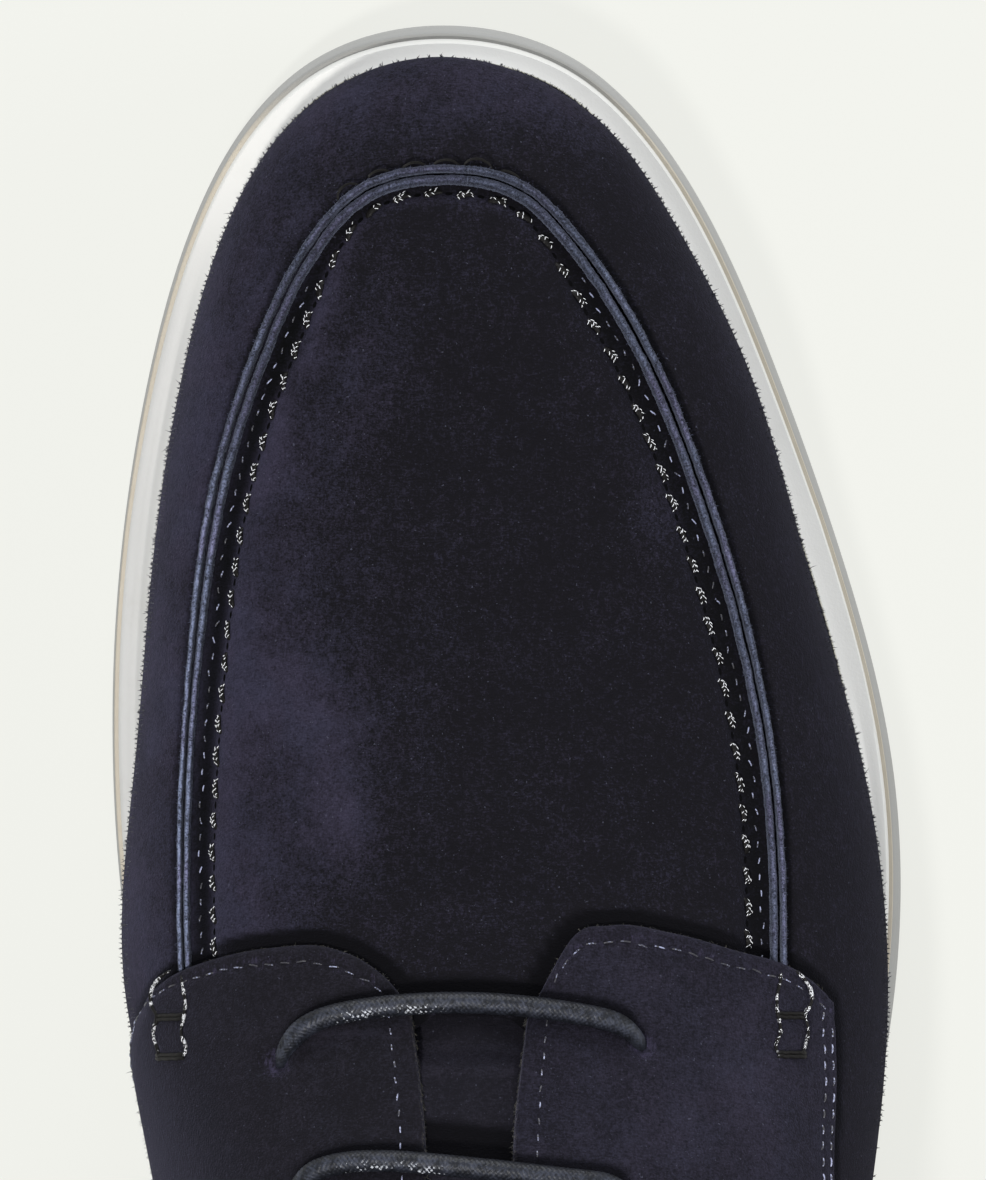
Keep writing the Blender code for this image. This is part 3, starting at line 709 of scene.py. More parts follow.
SEAM_OUT = (4.0, 3.2, 2.6, 2.1, 1.7, 1.3, 0.9, 0.5)     # rows beside the seam, by their distance from it
SEAM_IN = (0.5, 0.9, 1.3, 1.7, 2.1, 2.5, 2.9, 3.3, 3.7, 4.1, 4.5, 4.9, 5.3, 5.8, 6.4, 7.2, 8.2, 9.6, 11.2)
GUARD_ROWS = 34
APRON_ROWS = 26
WHOLE_COLUMNS = 120                     # sections along the whole upper, and more of them where the seam runs
SEAM_COLUMNS = 220
SEAM_COLUMNS_FROM = 150.0
VALLEY_NARROWS = 0.42                   # shares of the valley's width and depth that go round the toe
VALLEY_SHALLOWS = 0.45
HALVINGS = 26                           # steps of the search for a level
LIT_SIDE_FACING = (-0.10, 0.93, 0.34)          # painted light: the suede is painted lighter where it faces this way
# painted light: slopes that face the toe are painted lighter
LIT_TOE_FACING = (0.94, 0.0, 0.34)
NAP_DARK = (0.0075, 0.0071, 0.0091)
NAP_LIGHT = (0.0372, 0.0335, 0.0575)
NAP_SHADED = (0.0030, 0.0029, 0.0036)   # painted shadow, where something lies over the suede
LINT = (0.10, 0.105, 0.15)
UPPER = outline(UPPER_TIPS, UPPER_EDGE)


def deck(station):
    """Height of the welt's flat top at a station."""
    dense = np.linspace(-6, LENGTH + 6, 700)
    return np.interp(station, *over_tread(dense, WELT_TOP))


def ridge_station(station):
    """Where the section from a station of the widest line meets the ridge: towards the ends it fans out."""
    from_toe = np.clip(1 - (UPPER.toe - station) * FAN / TOE_REACH, 0, 1)
    from_heel = np.clip(1 - (station - UPPER.heel) * FAN / HEEL_REACH, 0, 1)
    return station - TOE_REACH * from_toe ** 2 + HEEL_REACH * from_heel ** 2


def upper_point(station, level, side):
    """The upper's outer face: level 0 on the welt, WIDE at the widest line, 1 at the ridge."""
    station, level = np.broadcast_arrays(np.asarray(station, float), np.asarray(level, float))
    wide = np.stack([station, UPPER.across(station, side)], axis=-1)
    along = (station - UPPER.heel) / (UPPER.toe - UPPER.heel)
    foot_station = FEATHER.heel + along * (FEATHER.toe - FEATHER.heel)
    foot = np.stack([over_tread(foot_station, WELT_TOP)[0], FEATHER.across(foot_station, side)], axis=-1)
    top_station = ridge_station(station)
    top = np.stack([top_station, read(LAST, RIDGE_Y, top_station)], axis=-1)
    rise = read(LAST, WIDEST, station)
    fullness = read(LAST, FULLNESS, station)
    below = np.clip(1 - level / WIDE, 0, 1)
    tuck = np.clip(below / TUCK_REACH, 0, 1) ** TUCK_POWER
    turn = np.clip((level - WIDE) / (1 - WIDE), 0, 1) * np.pi / 2
    inward = np.cos(turn) ** (2 / fullness)
    climb = np.sin(turn) ** (2 / fullness)
    lower = wide + (foot - wide) * tuck[..., None]
    upper_part = top + (wide - top) * inward[..., None]
    plan = np.where((level < WIDE)[..., None], lower, upper_part)
    seat = deck(plan[..., 0]) + CLEAR
    seat_wide = deck(wide[..., 0]) + CLEAR + rise
    ridge = read(LAST, RIDGE_HEIGHT, plan[..., 0])
    base = np.where(level < WIDE, seat, seat_wide)
    gain = np.where(level < WIDE, (seat_wide - seat) * (1 - below), (ridge - seat_wide) * climb)
    return np.concatenate([plan, (base + gain)[..., None]], axis=-1)


def unit(vectors):
    """Vectors made one long."""
    return vectors / np.maximum(np.linalg.norm(vectors, axis=-1), 1e-9)[..., None]


def upper_normal(station, level, side):
    """Outward direction of the upper's face."""
    level = np.clip(level, 0.006, 0.985)
    along = upper_point(station + 0.4, level, side) - upper_point(station - 0.4, level, side)
    rising = upper_point(station, level + 0.004, side) - upper_point(station, level - 0.004, side)
    return unit(np.cross(rising, along) * side)


def level_where(station, side, measure, target):
    """The level at which measure(point), which grows with the level, reaches a target."""
    low = np.zeros(np.shape(station))
    high = np.ones(np.shape(station))
    for _ in range(HALVINGS):
        middle = (low + high) / 2
        short = measure(upper_point(station, middle, side)) < target
        low = np.where(short, middle, low)
        high = np.where(short, high, middle)
    return high


def level_across(station, side, y):
    """The level at which a section is at that y."""
    return level_where(station, side, lambda point: -side * point[..., 1], -side * np.asarray(y, float))


def level_of_collar(station, side):
    """The level at which a section reaches the collar's top line."""
    return level_where(station, side, lambda point: point[..., 2] - read(COLLAR, 1, point[..., 0]), 0)


def throat_level(station, side, half):
    """The level at which a section is half the throat away from the ridge."""
    return level_across(station, side, read(LAST, RIDGE_Y, station) + side * half)


def up_sections(points):
    """How far each point of a grid lies up its section, measured over the surface."""
    steps = np.linalg.norm(np.diff(points, axis=0), axis=-1)
    return np.vstack([np.zeros(points.shape[1]), np.cumsum(steps, axis=0)])


def rows_by_arc(stations, side, low, high, from_low=(), even=0, from_high=(), stretch=1.0):
    """Levels between two on each section: rows at set distances from either end and even rows between."""
    share = np.linspace(0, 1, 241)[:, None]
    levels = low + (high - low) * share
    arc = up_sections(upper_point(stations, levels, side))
    near = np.array(from_low, float)[:, None] * stretch
    far = np.array(from_high, float)[:, None] * stretch
    rows = []
    for c in range(len(stations)):
        whole = arc[-1, c]
        a = near[:, min(c, near.shape[1] - 1)] if len(near) else np.zeros(0)
        b = far[:, min(c, far.shape[1] - 1)] if len(far) else np.zeros(0)
        room = (a.max() if len(a) else 0) + (b.max() if len(b) else 0)
        fit = min(1.0, 0.9 * whole / room) if room > 0 else 1.0
        a, b = a * fit, whole - b * fit
        start, end = (a[-1] if len(a) else 0.0), (b[0] if len(b) else whole)
        count = even + 2 - bool(len(a)) - bool(len(b))
        middle = np.linspace(start, end, even + 2)[bool(len(a)):even + 2 - bool(len(b))] if count > 0 else []
        targets = np.concatenate([a, middle, b])
        rows.append(np.interp(targets, arc[:, c], levels[:, c]))
    return np.array(rows).T


APRON_LINE = smooth_path(
    [APRON_ENDS[0]] + [(s, m) for s, m, _ in APRON] + [APRON_TIP]
    + [(s, -l) for s, _, l in reversed(APRON)] + [APRON_ENDS[1]])
APRON_FRONT = np.argmax(APRON_LINE[:, 0])
APRON_MEDIAL = APRON_LINE[:APRON_FRONT + 1]
APRON_LATERAL = APRON_LINE[APRON_FRONT:][::-1]


def inside_apron(point):
    """How far a point lies inside the apron seam, across the shoe."""
    station, y = point[..., 0], point[..., 1]
    from_medial = np.interp(station, APRON_MEDIAL[:, 0], APRON_MEDIAL[:, 1]) - y
    from_lateral = y - np.interp(station, APRON_LATERAL[:, 0], APRON_LATERAL[:, 1])
    return np.where(station > APRON_MEDIAL[-1, 0], -1.0, np.minimum(from_medial, from_lateral))


def creased(points):
    """How far the creases push each point in."""
    depth = np.zeros(points.shape[:-1])
    for station, y, long, wide, deep in CREASES:
        across = np.clip(1 - ((points[..., 1] - y) / long) ** 2, 0, 1) ** 2
        depth += deep * across * np.exp(-((points[..., 0] - station) / wide) ** 2)
    return depth


def light_patches_at(points, patches):
    """How much painted light lies on each point, or painted shade where a patch's share is below 0."""
    amount = np.zeros(points.shape[:-1])
    for station, y, along, across, share in patches:
        away = ((points[..., 0] - station) / along) ** 2 + ((points[..., 1] - y) / across) ** 2
        amount += share * np.exp(-away)
    return amount


def at_toe(station):
    """0 along the sides of the seam and 1 round the toe."""
    return ease((station - TOE_TURN) / TOE_TURN_LONG)


def suede(name, dark=NAP_DARK, light=NAP_LIGHT, sheen=0.10, lean=1.0, base=0.0):
    """Brushed suede: a short nap in clouds, streaks and single fibres, with painted light by facing and in
    patches.
    """
    made = Finish(name, roughness=0.95, specular_ior_level=0.035, sheen_weight=sheen, sheen_roughness=0.42,
                  sheen_tint=(0.40, 0.40, 0.62, 1))
    painted_light = made.sharpen(made.facing(LIT_SIDE_FACING), 0.30, 0.88)
    turned = made.sharpen(made.facing(LIT_TOE_FACING), 0.58, 0.86) * 0.30
    clouds = made.sharpen(made.noise(17, 4, 0.6), 0.40, 0.60)
    patches = made.sharpen(made.noise(5.5, 4, 0.62, out=3), 0.40, 0.64)
    mottle = made.noise(1.1, 4, 0.7, out=7)
    nap = made.noise(0.32, 3, 0.75)
    across = made.noise(0.24, 3, 0.6, stretch=(1, 0.30, 1), out=11)
    along = made.noise(0.24, 3, 0.6, stretch=(0.34, 1, 1), out=17)
    # Painted light on surfaces that face the medial side and the toe, scaled by lean, and in patches that the
    # points carry.
    share = (painted_light * (clouds * 0.22 + 0.39) + turned) * lean
    share = share + clouds * 0.06 + patches * 0.09 + (base - 0.10)
    share = share + made.read("painted_light") * (clouds * 0.6 + 0.7)
    share = share + (mottle - 0.5) * 0.90 + (nap - 0.5) * 1.4
    share = share + (across - 0.5) * 0.95 + (along - 0.5) * 0.7
    lint = made.sharpen(made.noise(0.42, 1, 0.4, out=21), 0.745, 0.785)
    cool = made.sharpen(made.noise(7, 3, 0.5, out=14), 0.38, 0.62)
    raised = made.mix(cool * 0.35, light, (light[0] * 0.84, light[1] * 1.02, light[2] * 1.05))
    made.tone = made.mix(lint * 0.4, made.mix(share, dark, raised), LINT)
    made.set("Roughness", 0.84 + nap * 0.14)
    made.bump(nap * 0.4 + mottle * 0.35 + across * 0.5, 0.34)
    return made


upper_suede = suede("upper_suede")
valley_shade = upper_suede.read("valley")
shaded = upper_suede.mix(valley_shade, upper_suede.tone, (0.0022, 0.0024, 0.0024))
# Painted shade in the seam's valley, and painted shadow just in front of the quarters and the laces.
upper_suede.set("Base Color", upper_suede.mix(upper_suede.read("lap_shadow"), shaded, NAP_SHADED))

seam_frames = {}
vamp_skin = {}
points = []
faces = []
valley_values = []
painted_light_values = []
for number, side in enumerate((MEDIAL, LATERAL)):
    whole = spaced(UPPER.heel, UPPER.toe, WHOLE_COLUMNS)
    front = np.linspace(SEAM_COLUMNS_FROM, UPPER.toe, SEAM_COLUMNS)
    stations = np.unique(np.round(np.concatenate([whole, front]), 4))
    stations[[0, -1]] = UPPER.heel, UPPER.toe           # where the two halves meet
    opening = THROAT_HALF * np.sqrt(np.clip((THROAT - stations) / THROAT_ROUND, 0, 1))
    slot = throat_level(np.clip(stations, SLOT_BACK, THROAT), side, opening)
    top = np.where(stations < THROAT, np.minimum(slot, level_of_collar(stations, side)), 1.0)
    seam = level_where(np.maximum(stations, THROAT), side, inside_apron, 0)
    back, rest = SEAM_REST
    rest = WIDE + (top - WIDE) * rest
    seam = np.minimum(rest + (seam - rest) * ease((stations - back) / (THROAT - back)), 0.96 * top)
    on_seam = upper_point(stations, seam, side)
    run = unit(np.gradient(on_seam, axis=0))
    rise = unit(upper_point(stations, seam + 0.003, side) - on_seam)
    slant = 1 / np.clip(np.linalg.norm(np.cross(run, rise), axis=-1), 0.5, 1)
    zero = np.zeros(len(stations))
    outer = rows_by_arc(stations, side, zero, seam, (), GUARD_ROWS, SEAM_OUT, slant)
    inner = rows_by_arc(stations, side, seam, top, SEAM_IN, APRON_ROWS, (), slant)
    levels = np.vstack([outer, seam[None], inner])
    placed = upper_point(stations, levels, side)
    normals = upper_normal(stations, levels, side)
    arc = up_sections(placed)
    inside_seam = (arc - arc[len(outer)]) / slant
    shown = ease((stations - SEAM_SHOWS) / 8)
    toe_share = at_toe(on_seam[:, 0])
    reach = 1 - VALLEY_NARROWS * toe_share
    sunk = read(VALLEY, 1, np.clip(inside_seam / np.where(inside_seam > 0, reach, 1), -4, 12))
    depth = sunk * shown * (1 - VALLEY_SHALLOWS * toe_share)
    depth = depth + creased(placed) * ease((inside_seam - 6) / 6) * shown
    seam_frames[side] = (on_seam, upper_normal(stations, seam, side))
    vamp_skin[side] = (placed, normals)
    points.append((placed - normals * depth[..., None]).reshape(-1, 3))
    # Painted shade: dark in the valley inside the seam and in a thin line just outside it.
    shade = hump(inside_seam / reach, 3.1, 3.0) * (0.76 + 0.12 * side) * (1 - 0.8 * toe_share)
    shade = shade + 0.6 * hump(inside_seam, -1.6, 1.2) * (1 - 0.7 * toe_share)
    valley_values.append((shade * shown).ravel())
    painted_light_values.append(light_patches_at(placed, LIGHT_PATCHES).ravel())
    faces += grid_faces(len(levels), len(stations), number * levels.size, flip=side == MEDIAL)
vamp_tree = BVHTree.FromPolygons(np.vstack(points).tolist(), [list(face) for face in faces])
values = {"valley": np.concatenate(valley_values), "painted_light": np.concatenate(painted_light_values)}
vamp = make("upper_suede", np.vstack(points), faces, upper_suede, values, 60, join=0.02)
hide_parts("upper")

# APRON SEAM. The raw edges of guard and apron stand up side by side, sewn back to back. The cut suede shows
# its lighter blue core and a rough fringe, with a dark line between the edges. At the toe the hand thread's
# loops stick out past the outer edge.

LIP_APART = 0.76                        # from the line between the edges to the middle of each
LIP_HALF = {1: 0.48, -1: 0.58}          # half thickness of the outer and the inner edge
LIP_HEIGHT = 1.5
LIP_STEP = 0.22
LIP_SIDES = 17
SEAM_END = 170.2                        # both edges dive under the quarters here
SEAM_NARROW = {MEDIAL: 0.70, LATERAL: 0.88}     # its width at the back ends, against that at the toe
SEAM_BROAD = 205.0                      # it widens from this station on
SEAM_JOIN = 5.7                         # y of the notch at the toe where the ends of the edges meet
NOTCH_DEEP = 0.55
NOTCH_HALF = 0.22
EDGE_PALE = {MEDIAL: 0.66, LATERAL: 0.62}       # how much of the cut's core shows
PALER_BACK = ((250.0, 0.75), (220.0, 0.4))      # the medial edge is paler behind these stations, by that much
DULL_TOE = (258.0, 0.42)                # and both are duller in front of this one
BETWEEN_PALE = {MEDIAL: 0.0, LATERAL: 0.10}     # how much of it shows between the two edges
BETWEEN_TOE = 0.17
SEAM_UPRIGHT = 0.75                     # how far the edges stand straight up instead of square to the skin
LIP_HAIRS = 2400
HAIR_THICK = 0.034
CUT_DARK = (0.0050, 0.0052, 0.0085)
CUT_BLUE = (0.240, 0.282, 0.435)
CUT_VIOLET = (0.234, 0.230, 0.400)
CUT_SPECK = (0.46, 0.48, 0.64)
LOOP_THICK = 0.09
LOOP_REACH = 2.1
LOOP_COUNT = 6
LOOP_APART = 0.17                       # the loop's two strands
HAND_PITCH = 4.45                       # from one hand stitch to the next


def resampled(path, up, step):
    """A path at even steps, with its direction, its outward side and its up direction there."""
    arc = np.concatenate([[0], np.cumsum(np.linalg.norm(np.diff(path, axis=0), axis=1))])
    where = np.linspace(0, arc[-1], int(arc[-1] / step) + 1)
    place = np.stack([np.interp(where, arc, path[:, k]) for k in range(3)], axis=1)
    raised = unit(np.stack([np.interp(where, arc, up[:, k]) for k in range(3)], axis=1))
    ahead = unit(np.gradient(place, axis=0))
    raised = unit(raised - ahead * (raised * ahead).sum(axis=1)[:, None])
    return place, ahead, np.cross(raised, ahead), raised, where


def wander(count, smooth, random):
    """A slow random walk from -1 to 1."""
    kernel = np.hanning(2 * smooth + 3)
    drawn = np.convolve(random.normal(size=count + 2 * len(kernel)), kernel / kernel.sum(), "same")
    drawn = drawn[len(kernel):len(kernel) + count]
    return drawn / (abs(drawn).max() + 1e-9)


def tube(route, radius, sides=6):
    """Points and faces of a round tube along a route, with a radius at each point."""
    route = np.asarray(route, float)
    ahead = unit(np.gradient(route, axis=0))
    guide = np.array([0.0, 0.0, 1.0]) if abs(ahead[:, 2]).mean() < 0.8 else np.array([1.0, 0.0, 0.0])
    across = unit(np.cross(ahead, guide))
    other = np.cross(ahead, across)
    angle = np.arange(sides) * 2 * np.pi / sides
    spoke = np.cos(angle)[None, :, None] * across[:, None] + np.sin(angle)[None, :, None] * other[:, None]
    radius = np.broadcast_to(np.asarray(radius, float), (len(route),))
    points = route[:, None] + spoke * radius[:, None, None]
    return points.reshape(-1, 3), ring_faces(len(route), sides) + end_caps(len(route), sides)


def end_caps(rings, sides):
    """The two end faces of a tube."""
    return [tuple(range(sides))[::-1], tuple((rings - 1) * sides + i for i in range(sides))]


class Bundle:
    """Many small bodies gathered into one mesh, each with values that the finish reads."""

    def __init__(self):
        self.points = []
        self.faces = []
        self.values = {}
        self.count = 0

    def add(self, points, faces, **values):
        """One more body, with one value of each kind or a value for each of its points."""
        self.points.append(points)
        self.faces += [tuple(i + self.count for i in face) for face in faces]
        self.count += len(points)
        for key, amounts in values.items():
            self.values.setdefault(key, []).append(np.broadcast_to(amounts, (len(points),)))

    def made(self, name, finish, slot):
        """The piece that all the bodies make up."""
        values = {key: np.concatenate(parts) for key, parts in self.values.items()}
        piece = make(name, np.vstack(self.points), self.faces, finish, values)
        return piece


FIBRE_FACES = [(0, 1, 4, 3), (1, 2, 5, 4), (2, 0, 3, 5), (3, 4, 6), (4, 5, 6), (5, 3, 6)]


def fringe(bundle, roots, directions, long, thick, random):
    """Short bent fibres that stand out of the suede."""
    bend = random.normal(size=roots.shape) * 0.45
    for root, way, sway, length in zip(roots, directions, bend, long):
        side = np.cross(way, (0.31, 0.17, 0.94))
        side = side / np.linalg.norm(side)
        other = np.cross(way, side)
        middle = root + way * length * 0.55 + sway * length * 0.18
        tip = root + way * length + sway * length * 0.55
        spokes = [side * math.cos(turn) + other * math.sin(turn) for turn in (0.0, 2.1, 4.2)]
        foot = [root - way * 0.25 + spoke * thick for spoke in spokes]
        knee = [middle + spoke * thick * 0.8 for spoke in spokes]
        bundle.add(np.array(foot + knee + [tip]), FIBRE_FACES)


raw_edge = Finish("raw_suede_edge", roughness=0.9, specular_ior_level=0.2, sheen_weight=0.35,
                  sheen_roughness=0.4, sheen_tint=(0.55, 0.62, 0.85, 1))
fibre = raw_edge.noise(0.30, 4, 0.75)
clump = raw_edge.noise(1.6, 3, 0.6, out=5)
hue = raw_edge.sharpen(raw_edge.noise(12, 2, 0.5, out=9), 0.40, 0.60)
speck = raw_edge.sharpen(raw_edge.noise(0.20, 2, 0.6, out=8), 0.56, 0.70)
core = raw_edge.sharpen(fibre * 0.75 + clump * 0.25, 0.35, 0.66) * raw_edge.read("crest")
cut_tone = raw_edge.mix(speck * 0.7, raw_edge.mix(hue, CUT_BLUE, CUT_VIOLET), CUT_SPECK)
raw_edge.set("Base Color", raw_edge.mix(core, CUT_DARK, cut_tone))
raw_edge.bump(fibre, 0.30)

random = np.random.default_rng(5)
path = []
up = []
for side in (MEDIAL, LATERAL):
    on_seam, normal = seam_frames[side]
    kept = on_seam[:, 0] > SEAM_END
    order = slice(None) if side == MEDIAL else slice(None, None, -1)
    path.append(on_seam[kept][order])
    up.append(normal[kept][order])
path = np.vstack([path[0], path[1][1:]])
up = np.vstack([up[0], up[1][1:]])
seam_place, seam_ahead, seam_out, seam_up, seam_arc = resampled(path, up, LIP_STEP)
apex = np.argmax(seam_place[:, 0])
seam_toe = at_toe(seam_place[:, 0])
on_medial = np.arange(len(seam_place)) < apex
narrow = np.where(on_medial, SEAM_NARROW[MEDIAL], SEAM_NARROW[LATERAL])
broad = narrow + (1 - narrow) * ease((seam_place[:, 0] - SEAM_BROAD) / 30)
sink = ease((seam_place[:, 0] - SEAM_END) / 2.5)
stand = unit(seam_up * (1 - SEAM_UPRIGHT) + np.array([0.0, 0.0, SEAM_UPRIGHT]))
stand = unit(stand - seam_ahead * (stand * seam_ahead).sum(axis=1)[:, None])
apart = np.cross(stand, seam_ahead)
rooted = seam_place - stand * (1, 1, 0) * LIP_HEIGHT * 0.85
angle = np.linspace(-2.0, 2.0, LIP_SIDES)
paled = EDGE_PALE[MEDIAL]
for station, more in PALER_BACK:
    paled = paled + more * ease((station - seam_place[:, 0]) / 20)
paled = np.where(on_medial, paled, EDGE_PALE[LATERAL])
paled = paled * (1 - DULL_TOE[1] * ease((seam_place[:, 0] - DULL_TOE[0]) / 14))
between = np.where(on_medial, BETWEEN_PALE[MEDIAL], BETWEEN_PALE[LATERAL])
between = between * (1 - seam_toe) + BETWEEN_TOE * seam_toe
edge_hairs = Bundle()
for name, sign in (("guard_edge", 1), ("apron_edge", -1)):
    count = len(seam_place)
    middle = sign * LIP_APART * broad + 0.07 * wander(count, 9, random)
    high = LIP_HEIGHT * (0.8 + 0.2 * broad) * sink
    high = high + 0.09 * wander(count, 4, random) + 0.04 * random.normal(size=count)
    high = high - NOTCH_DEEP * np.exp(-((seam_place[:, 1] - SEAM_JOIN) / NOTCH_HALF) ** 2) * seam_toe
    half = LIP_HALF[sign] * broad * (1 + 0.20 * seam_toe) * (1 + 0.09 * wander(count, 5, random))
    rough = 1 + 0.06 * random.normal(size=(count, LIP_SIDES))
    across = middle[:, None] + half[:, None] * np.sin(angle) * rough
    rise = (high - half)[:, None] + half[:, None] * np.cos(angle) * rough
    rise = np.where(abs(angle) > 1.7, -0.7, rise)
    placed = rooted[:, None] + apart[:, None] * across[..., None] + stand[:, None] * rise[..., None]
    level = (paled + 0.15 * wander(count, 30, random))[:, None]
    crest = hump(angle, 0, 1.10 - 0.55 * seam_toe[:, None]) * level * (1.0 + 0.1 * sign) + between[:, None]
    lip = make(name, placed.reshape(-1, 3), grid_faces(count, LIP_SIDES, flip=True), raw_edge,
               {"crest": crest.ravel()})
    picked = random.integers(0, count, LIP_HAIRS)
    turned = random.uniform(-0.4, 1.3, LIP_HAIRS) * sign
    way = apart[picked] * np.sin(turned)[:, None] + stand[picked] * np.cos(turned)[:, None]
    root = rooted[picked] + stand[picked] * (high - half)[picked, None]
    root = root + apart[picked] * middle[picked, None] + way * half[picked, None]
    fringe(edge_hairs, root, way, random.uniform(0.10, 0.42, LIP_HAIRS), HAIR_THICK, random)


def fibres(name, size, low, high, dark, light, sheen=0.0):
    """Loose fibres of the suede, each of one tone between two."""
    made = Finish(name, roughness=0.9, specular_ior_level=0.15, sheen_weight=sheen)
    made.set("Base Color", made.mix(made.sharpen(made.noise(size, 2), low, high), dark, light))
    return made


seam_fibre = fibres("seam_fibre", 0.8, 0.40, 0.60, (0.010, 0.011, 0.018), (0.095, 0.104, 0.165))
edge_hairs.made("seam_fringe", seam_fibre, "suede")

waxed = Finish("waxed_thread", roughness=0.5, specular_ior_level=0.12, coat_weight=0.02, coat_roughness=0.25)
wax = waxed.noise(0.35, 3, 0.6)
thread_tone = waxed.mix(wax, (0.002, 0.0019, 0.0018), (0.013, 0.012, 0.012))
# Painted highlights: where a piece's glint is high, the thread is painted near white.
painted_glint = waxed.sharpen(waxed.read("glint") * (0.55 + wax), 0.42, 0.62)
waxed.set("Base Color", waxed.mix(painted_glint, thread_tone, (0.90, 0.91, 0.95)))
waxed.set("Roughness", 0.36 + wax * 0.2)
waxed.bump(wax, 0.05)

loops = Bundle()
first = seam_arc[apex] - 3.0 * HAND_PITCH
for k in range(LOOP_COUNT):
    middle = first + k * HAND_PITCH * 0.98 + 0.25 * random.normal()
    bend = np.linspace(-1, 1, 17)
    where = middle + bend * HAND_PITCH * (0.40 + 0.03 * random.normal())
    index = np.clip(np.searchsorted(seam_arc, where), 0, len(seam_arc) - 1)
    reach = 1.0 + (LOOP_REACH - 1.0 + 0.22 * random.normal()) * (1 - bend ** 2) ** 0.6
    lift = 0.7 + 0.35 * (1 - bend ** 2)
    for strand in (0.0, LOOP_APART):
        route = rooted[index] + apart[index] * (reach - strand)[:, None] + stand[index] * lift[:, None]
        # Painted highlights, weak, on the loops.
        loops.add(*tube(route, LOOP_THICK, 6), glint=0.24)
loops.made("apron_loops", waxed, "lace_cord")

# HAND STITCHES. A flat waxed braid pulls the apron down inside its seam, one stitch and one dark needle
# hole after another, and its strand tops carry painted highlights. Above it, on the slope of the standing
# edge, runs a fine machine stitch in violet thread.

HAND_LONG = 2.6
HAND_WIDE = 1.06
HAND_HIGH = 0.62
HAND_TWIST = 3.1                        # length of one turn of a strand
HAND_STRANDS = 8
HAND_DEPTH = 0.10
HAND_SIDES = 24
DASH_ROWS = 4                           # strand tops with painted highlights along a stitch, in three files
DASH_SLOTS = 26                         # places along a stitch where a strand top may lie
DASH_LONG = 0.60
DASH_THICK = 0.050
HAND_INSIDE = (4.55, 2.75)              # distance inside the seam's middle, at the sides and at the toe
MACHINE_INSIDE = (2.55, 1.75)
MACHINE_PITCH = 2.3
MACHINE_LONG = 0.34                     # share of the pitch that each stitch shows
THREAD_THICK = 0.095
MACHINE_FRONT = 268.0                   # in front of this the row is tucked under the standing edge
HOLE_RADIUS = 0.34
HOLE_SIDES = 10
FINE = 0.1                              # step of the paths that stitches are placed along
SCATTER = (12.9898, 78.233, 43758.5453) # turn the number of a strand's crossing into an even scatter


def beside_seam(sides_toe):
    """The line on the skin that lies at a distance inside the seam as seen from above, with directions."""
    inside = sides_toe[0] + (sides_toe[1] - sides_toe[0]) * seam_toe
    plan = seam_place[:, :2] - unit(seam_out[:, :2]) * inside[:, None]
    line = []
    lift = []
    for station, y in plan:
        spot, normal, _, _ = vamp_tree.ray_cast((station, y, 150.0), (0, 0, -1))
        if spot is not None:
            line.append(spot)
            lift.append(normal)
    return resampled(np.array(line), np.array(lift), FINE)


def at_arc(where, arc):
    """The points of an evenly resampled path at those lengths along it."""
    return np.clip((where / (arc[1] - arc[0])).astype(int), 0, len(arc) - 1)


def braid(route, up, wide, high, pitch, strands, depth, sides, swell=1.0):
    """A braided cord along a route, how deep its points lie in furrows, and which strand tops carry painted
    highlights.
    """
    ahead = unit(np.gradient(route, axis=0))
    out = unit(np.cross(up, ahead))
    lift = np.cross(ahead, out)
    arc = np.concatenate([[0], np.cumsum(np.linalg.norm(np.diff(route, axis=0), axis=1))])
    angle = np.arange(sides) * 2 * np.pi / sides
    turn = 2 * np.pi * arc[:, None] / pitch
    left = strands / 2 * (angle - turn)
    right = strands / 2 * (angle + turn)
    over = np.sin(left) * np.sin(right) > 0
    relief = np.where(over, abs(np.sin(left)), abs(np.sin(right))) ** 0.6
    along_strand = np.where(over, abs(np.sin(right)), abs(np.sin(left)))
    cell = np.floor(left / np.pi) * SCATTER[0] + np.floor(right / np.pi) * SCATTER[1]
    drawn = ease((np.sin(cell) * SCATTER[2] % 1 - 0.25) / 0.3)
    glint = ease((relief - 0.66) / 0.16) * ease((along_strand - 0.2) / 0.3) * drawn
    swell = np.broadcast_to(swell, (len(route),))[:, None]
    sideways = swell * (wide / 2 - depth * (1 - relief)) * np.cos(angle)
    upward = swell * (high / 2 - depth * (1 - relief)) * np.sin(angle)
    points = route[:, None] + out[:, None] * sideways[..., None] + lift[:, None] * upward[..., None]
    faces = ring_faces(len(route), sides) + end_caps(len(route), sides)
    return points.reshape(-1, 3), faces, (1 - relief).ravel(), glint.ravel()


thread = Finish("machine_thread", roughness=0.42, specular_ior_level=0.6, sheen_weight=0.3)
strand = thread.noise(0.32, 3, 0.6)
# Painted glints: the thread is painted bright in specks, more where a stitch's worn value is high.
lit = thread.sharpen(thread.noise(0.30, 2, 0.5, out=6) * 2.2 + thread.read("worn") * 0.45, 1.18, 1.46)
dull = thread.mix(strand, (0.006, 0.006, 0.010), (0.020, 0.019, 0.034))
thread.set("Base Color", thread.mix(lit, dull, thread.mix(strand, (0.20, 0.21, 0.36), (0.48, 0.52, 0.74))))
thread.bump(strand, 0.04)

# Painted shade: each needle hole is a flat near-black disc laid on the skin.
hole_dark = Finish("needle_holes", roughness=0.95, specular_ior_level=0.05)
hole_tone = hole_dark.mix(hole_dark.noise(0.4, 2), (0.001, 0.001, 0.001), (0.004, 0.004, 0.005))
hole_dark.set("Base Color", hole_tone)

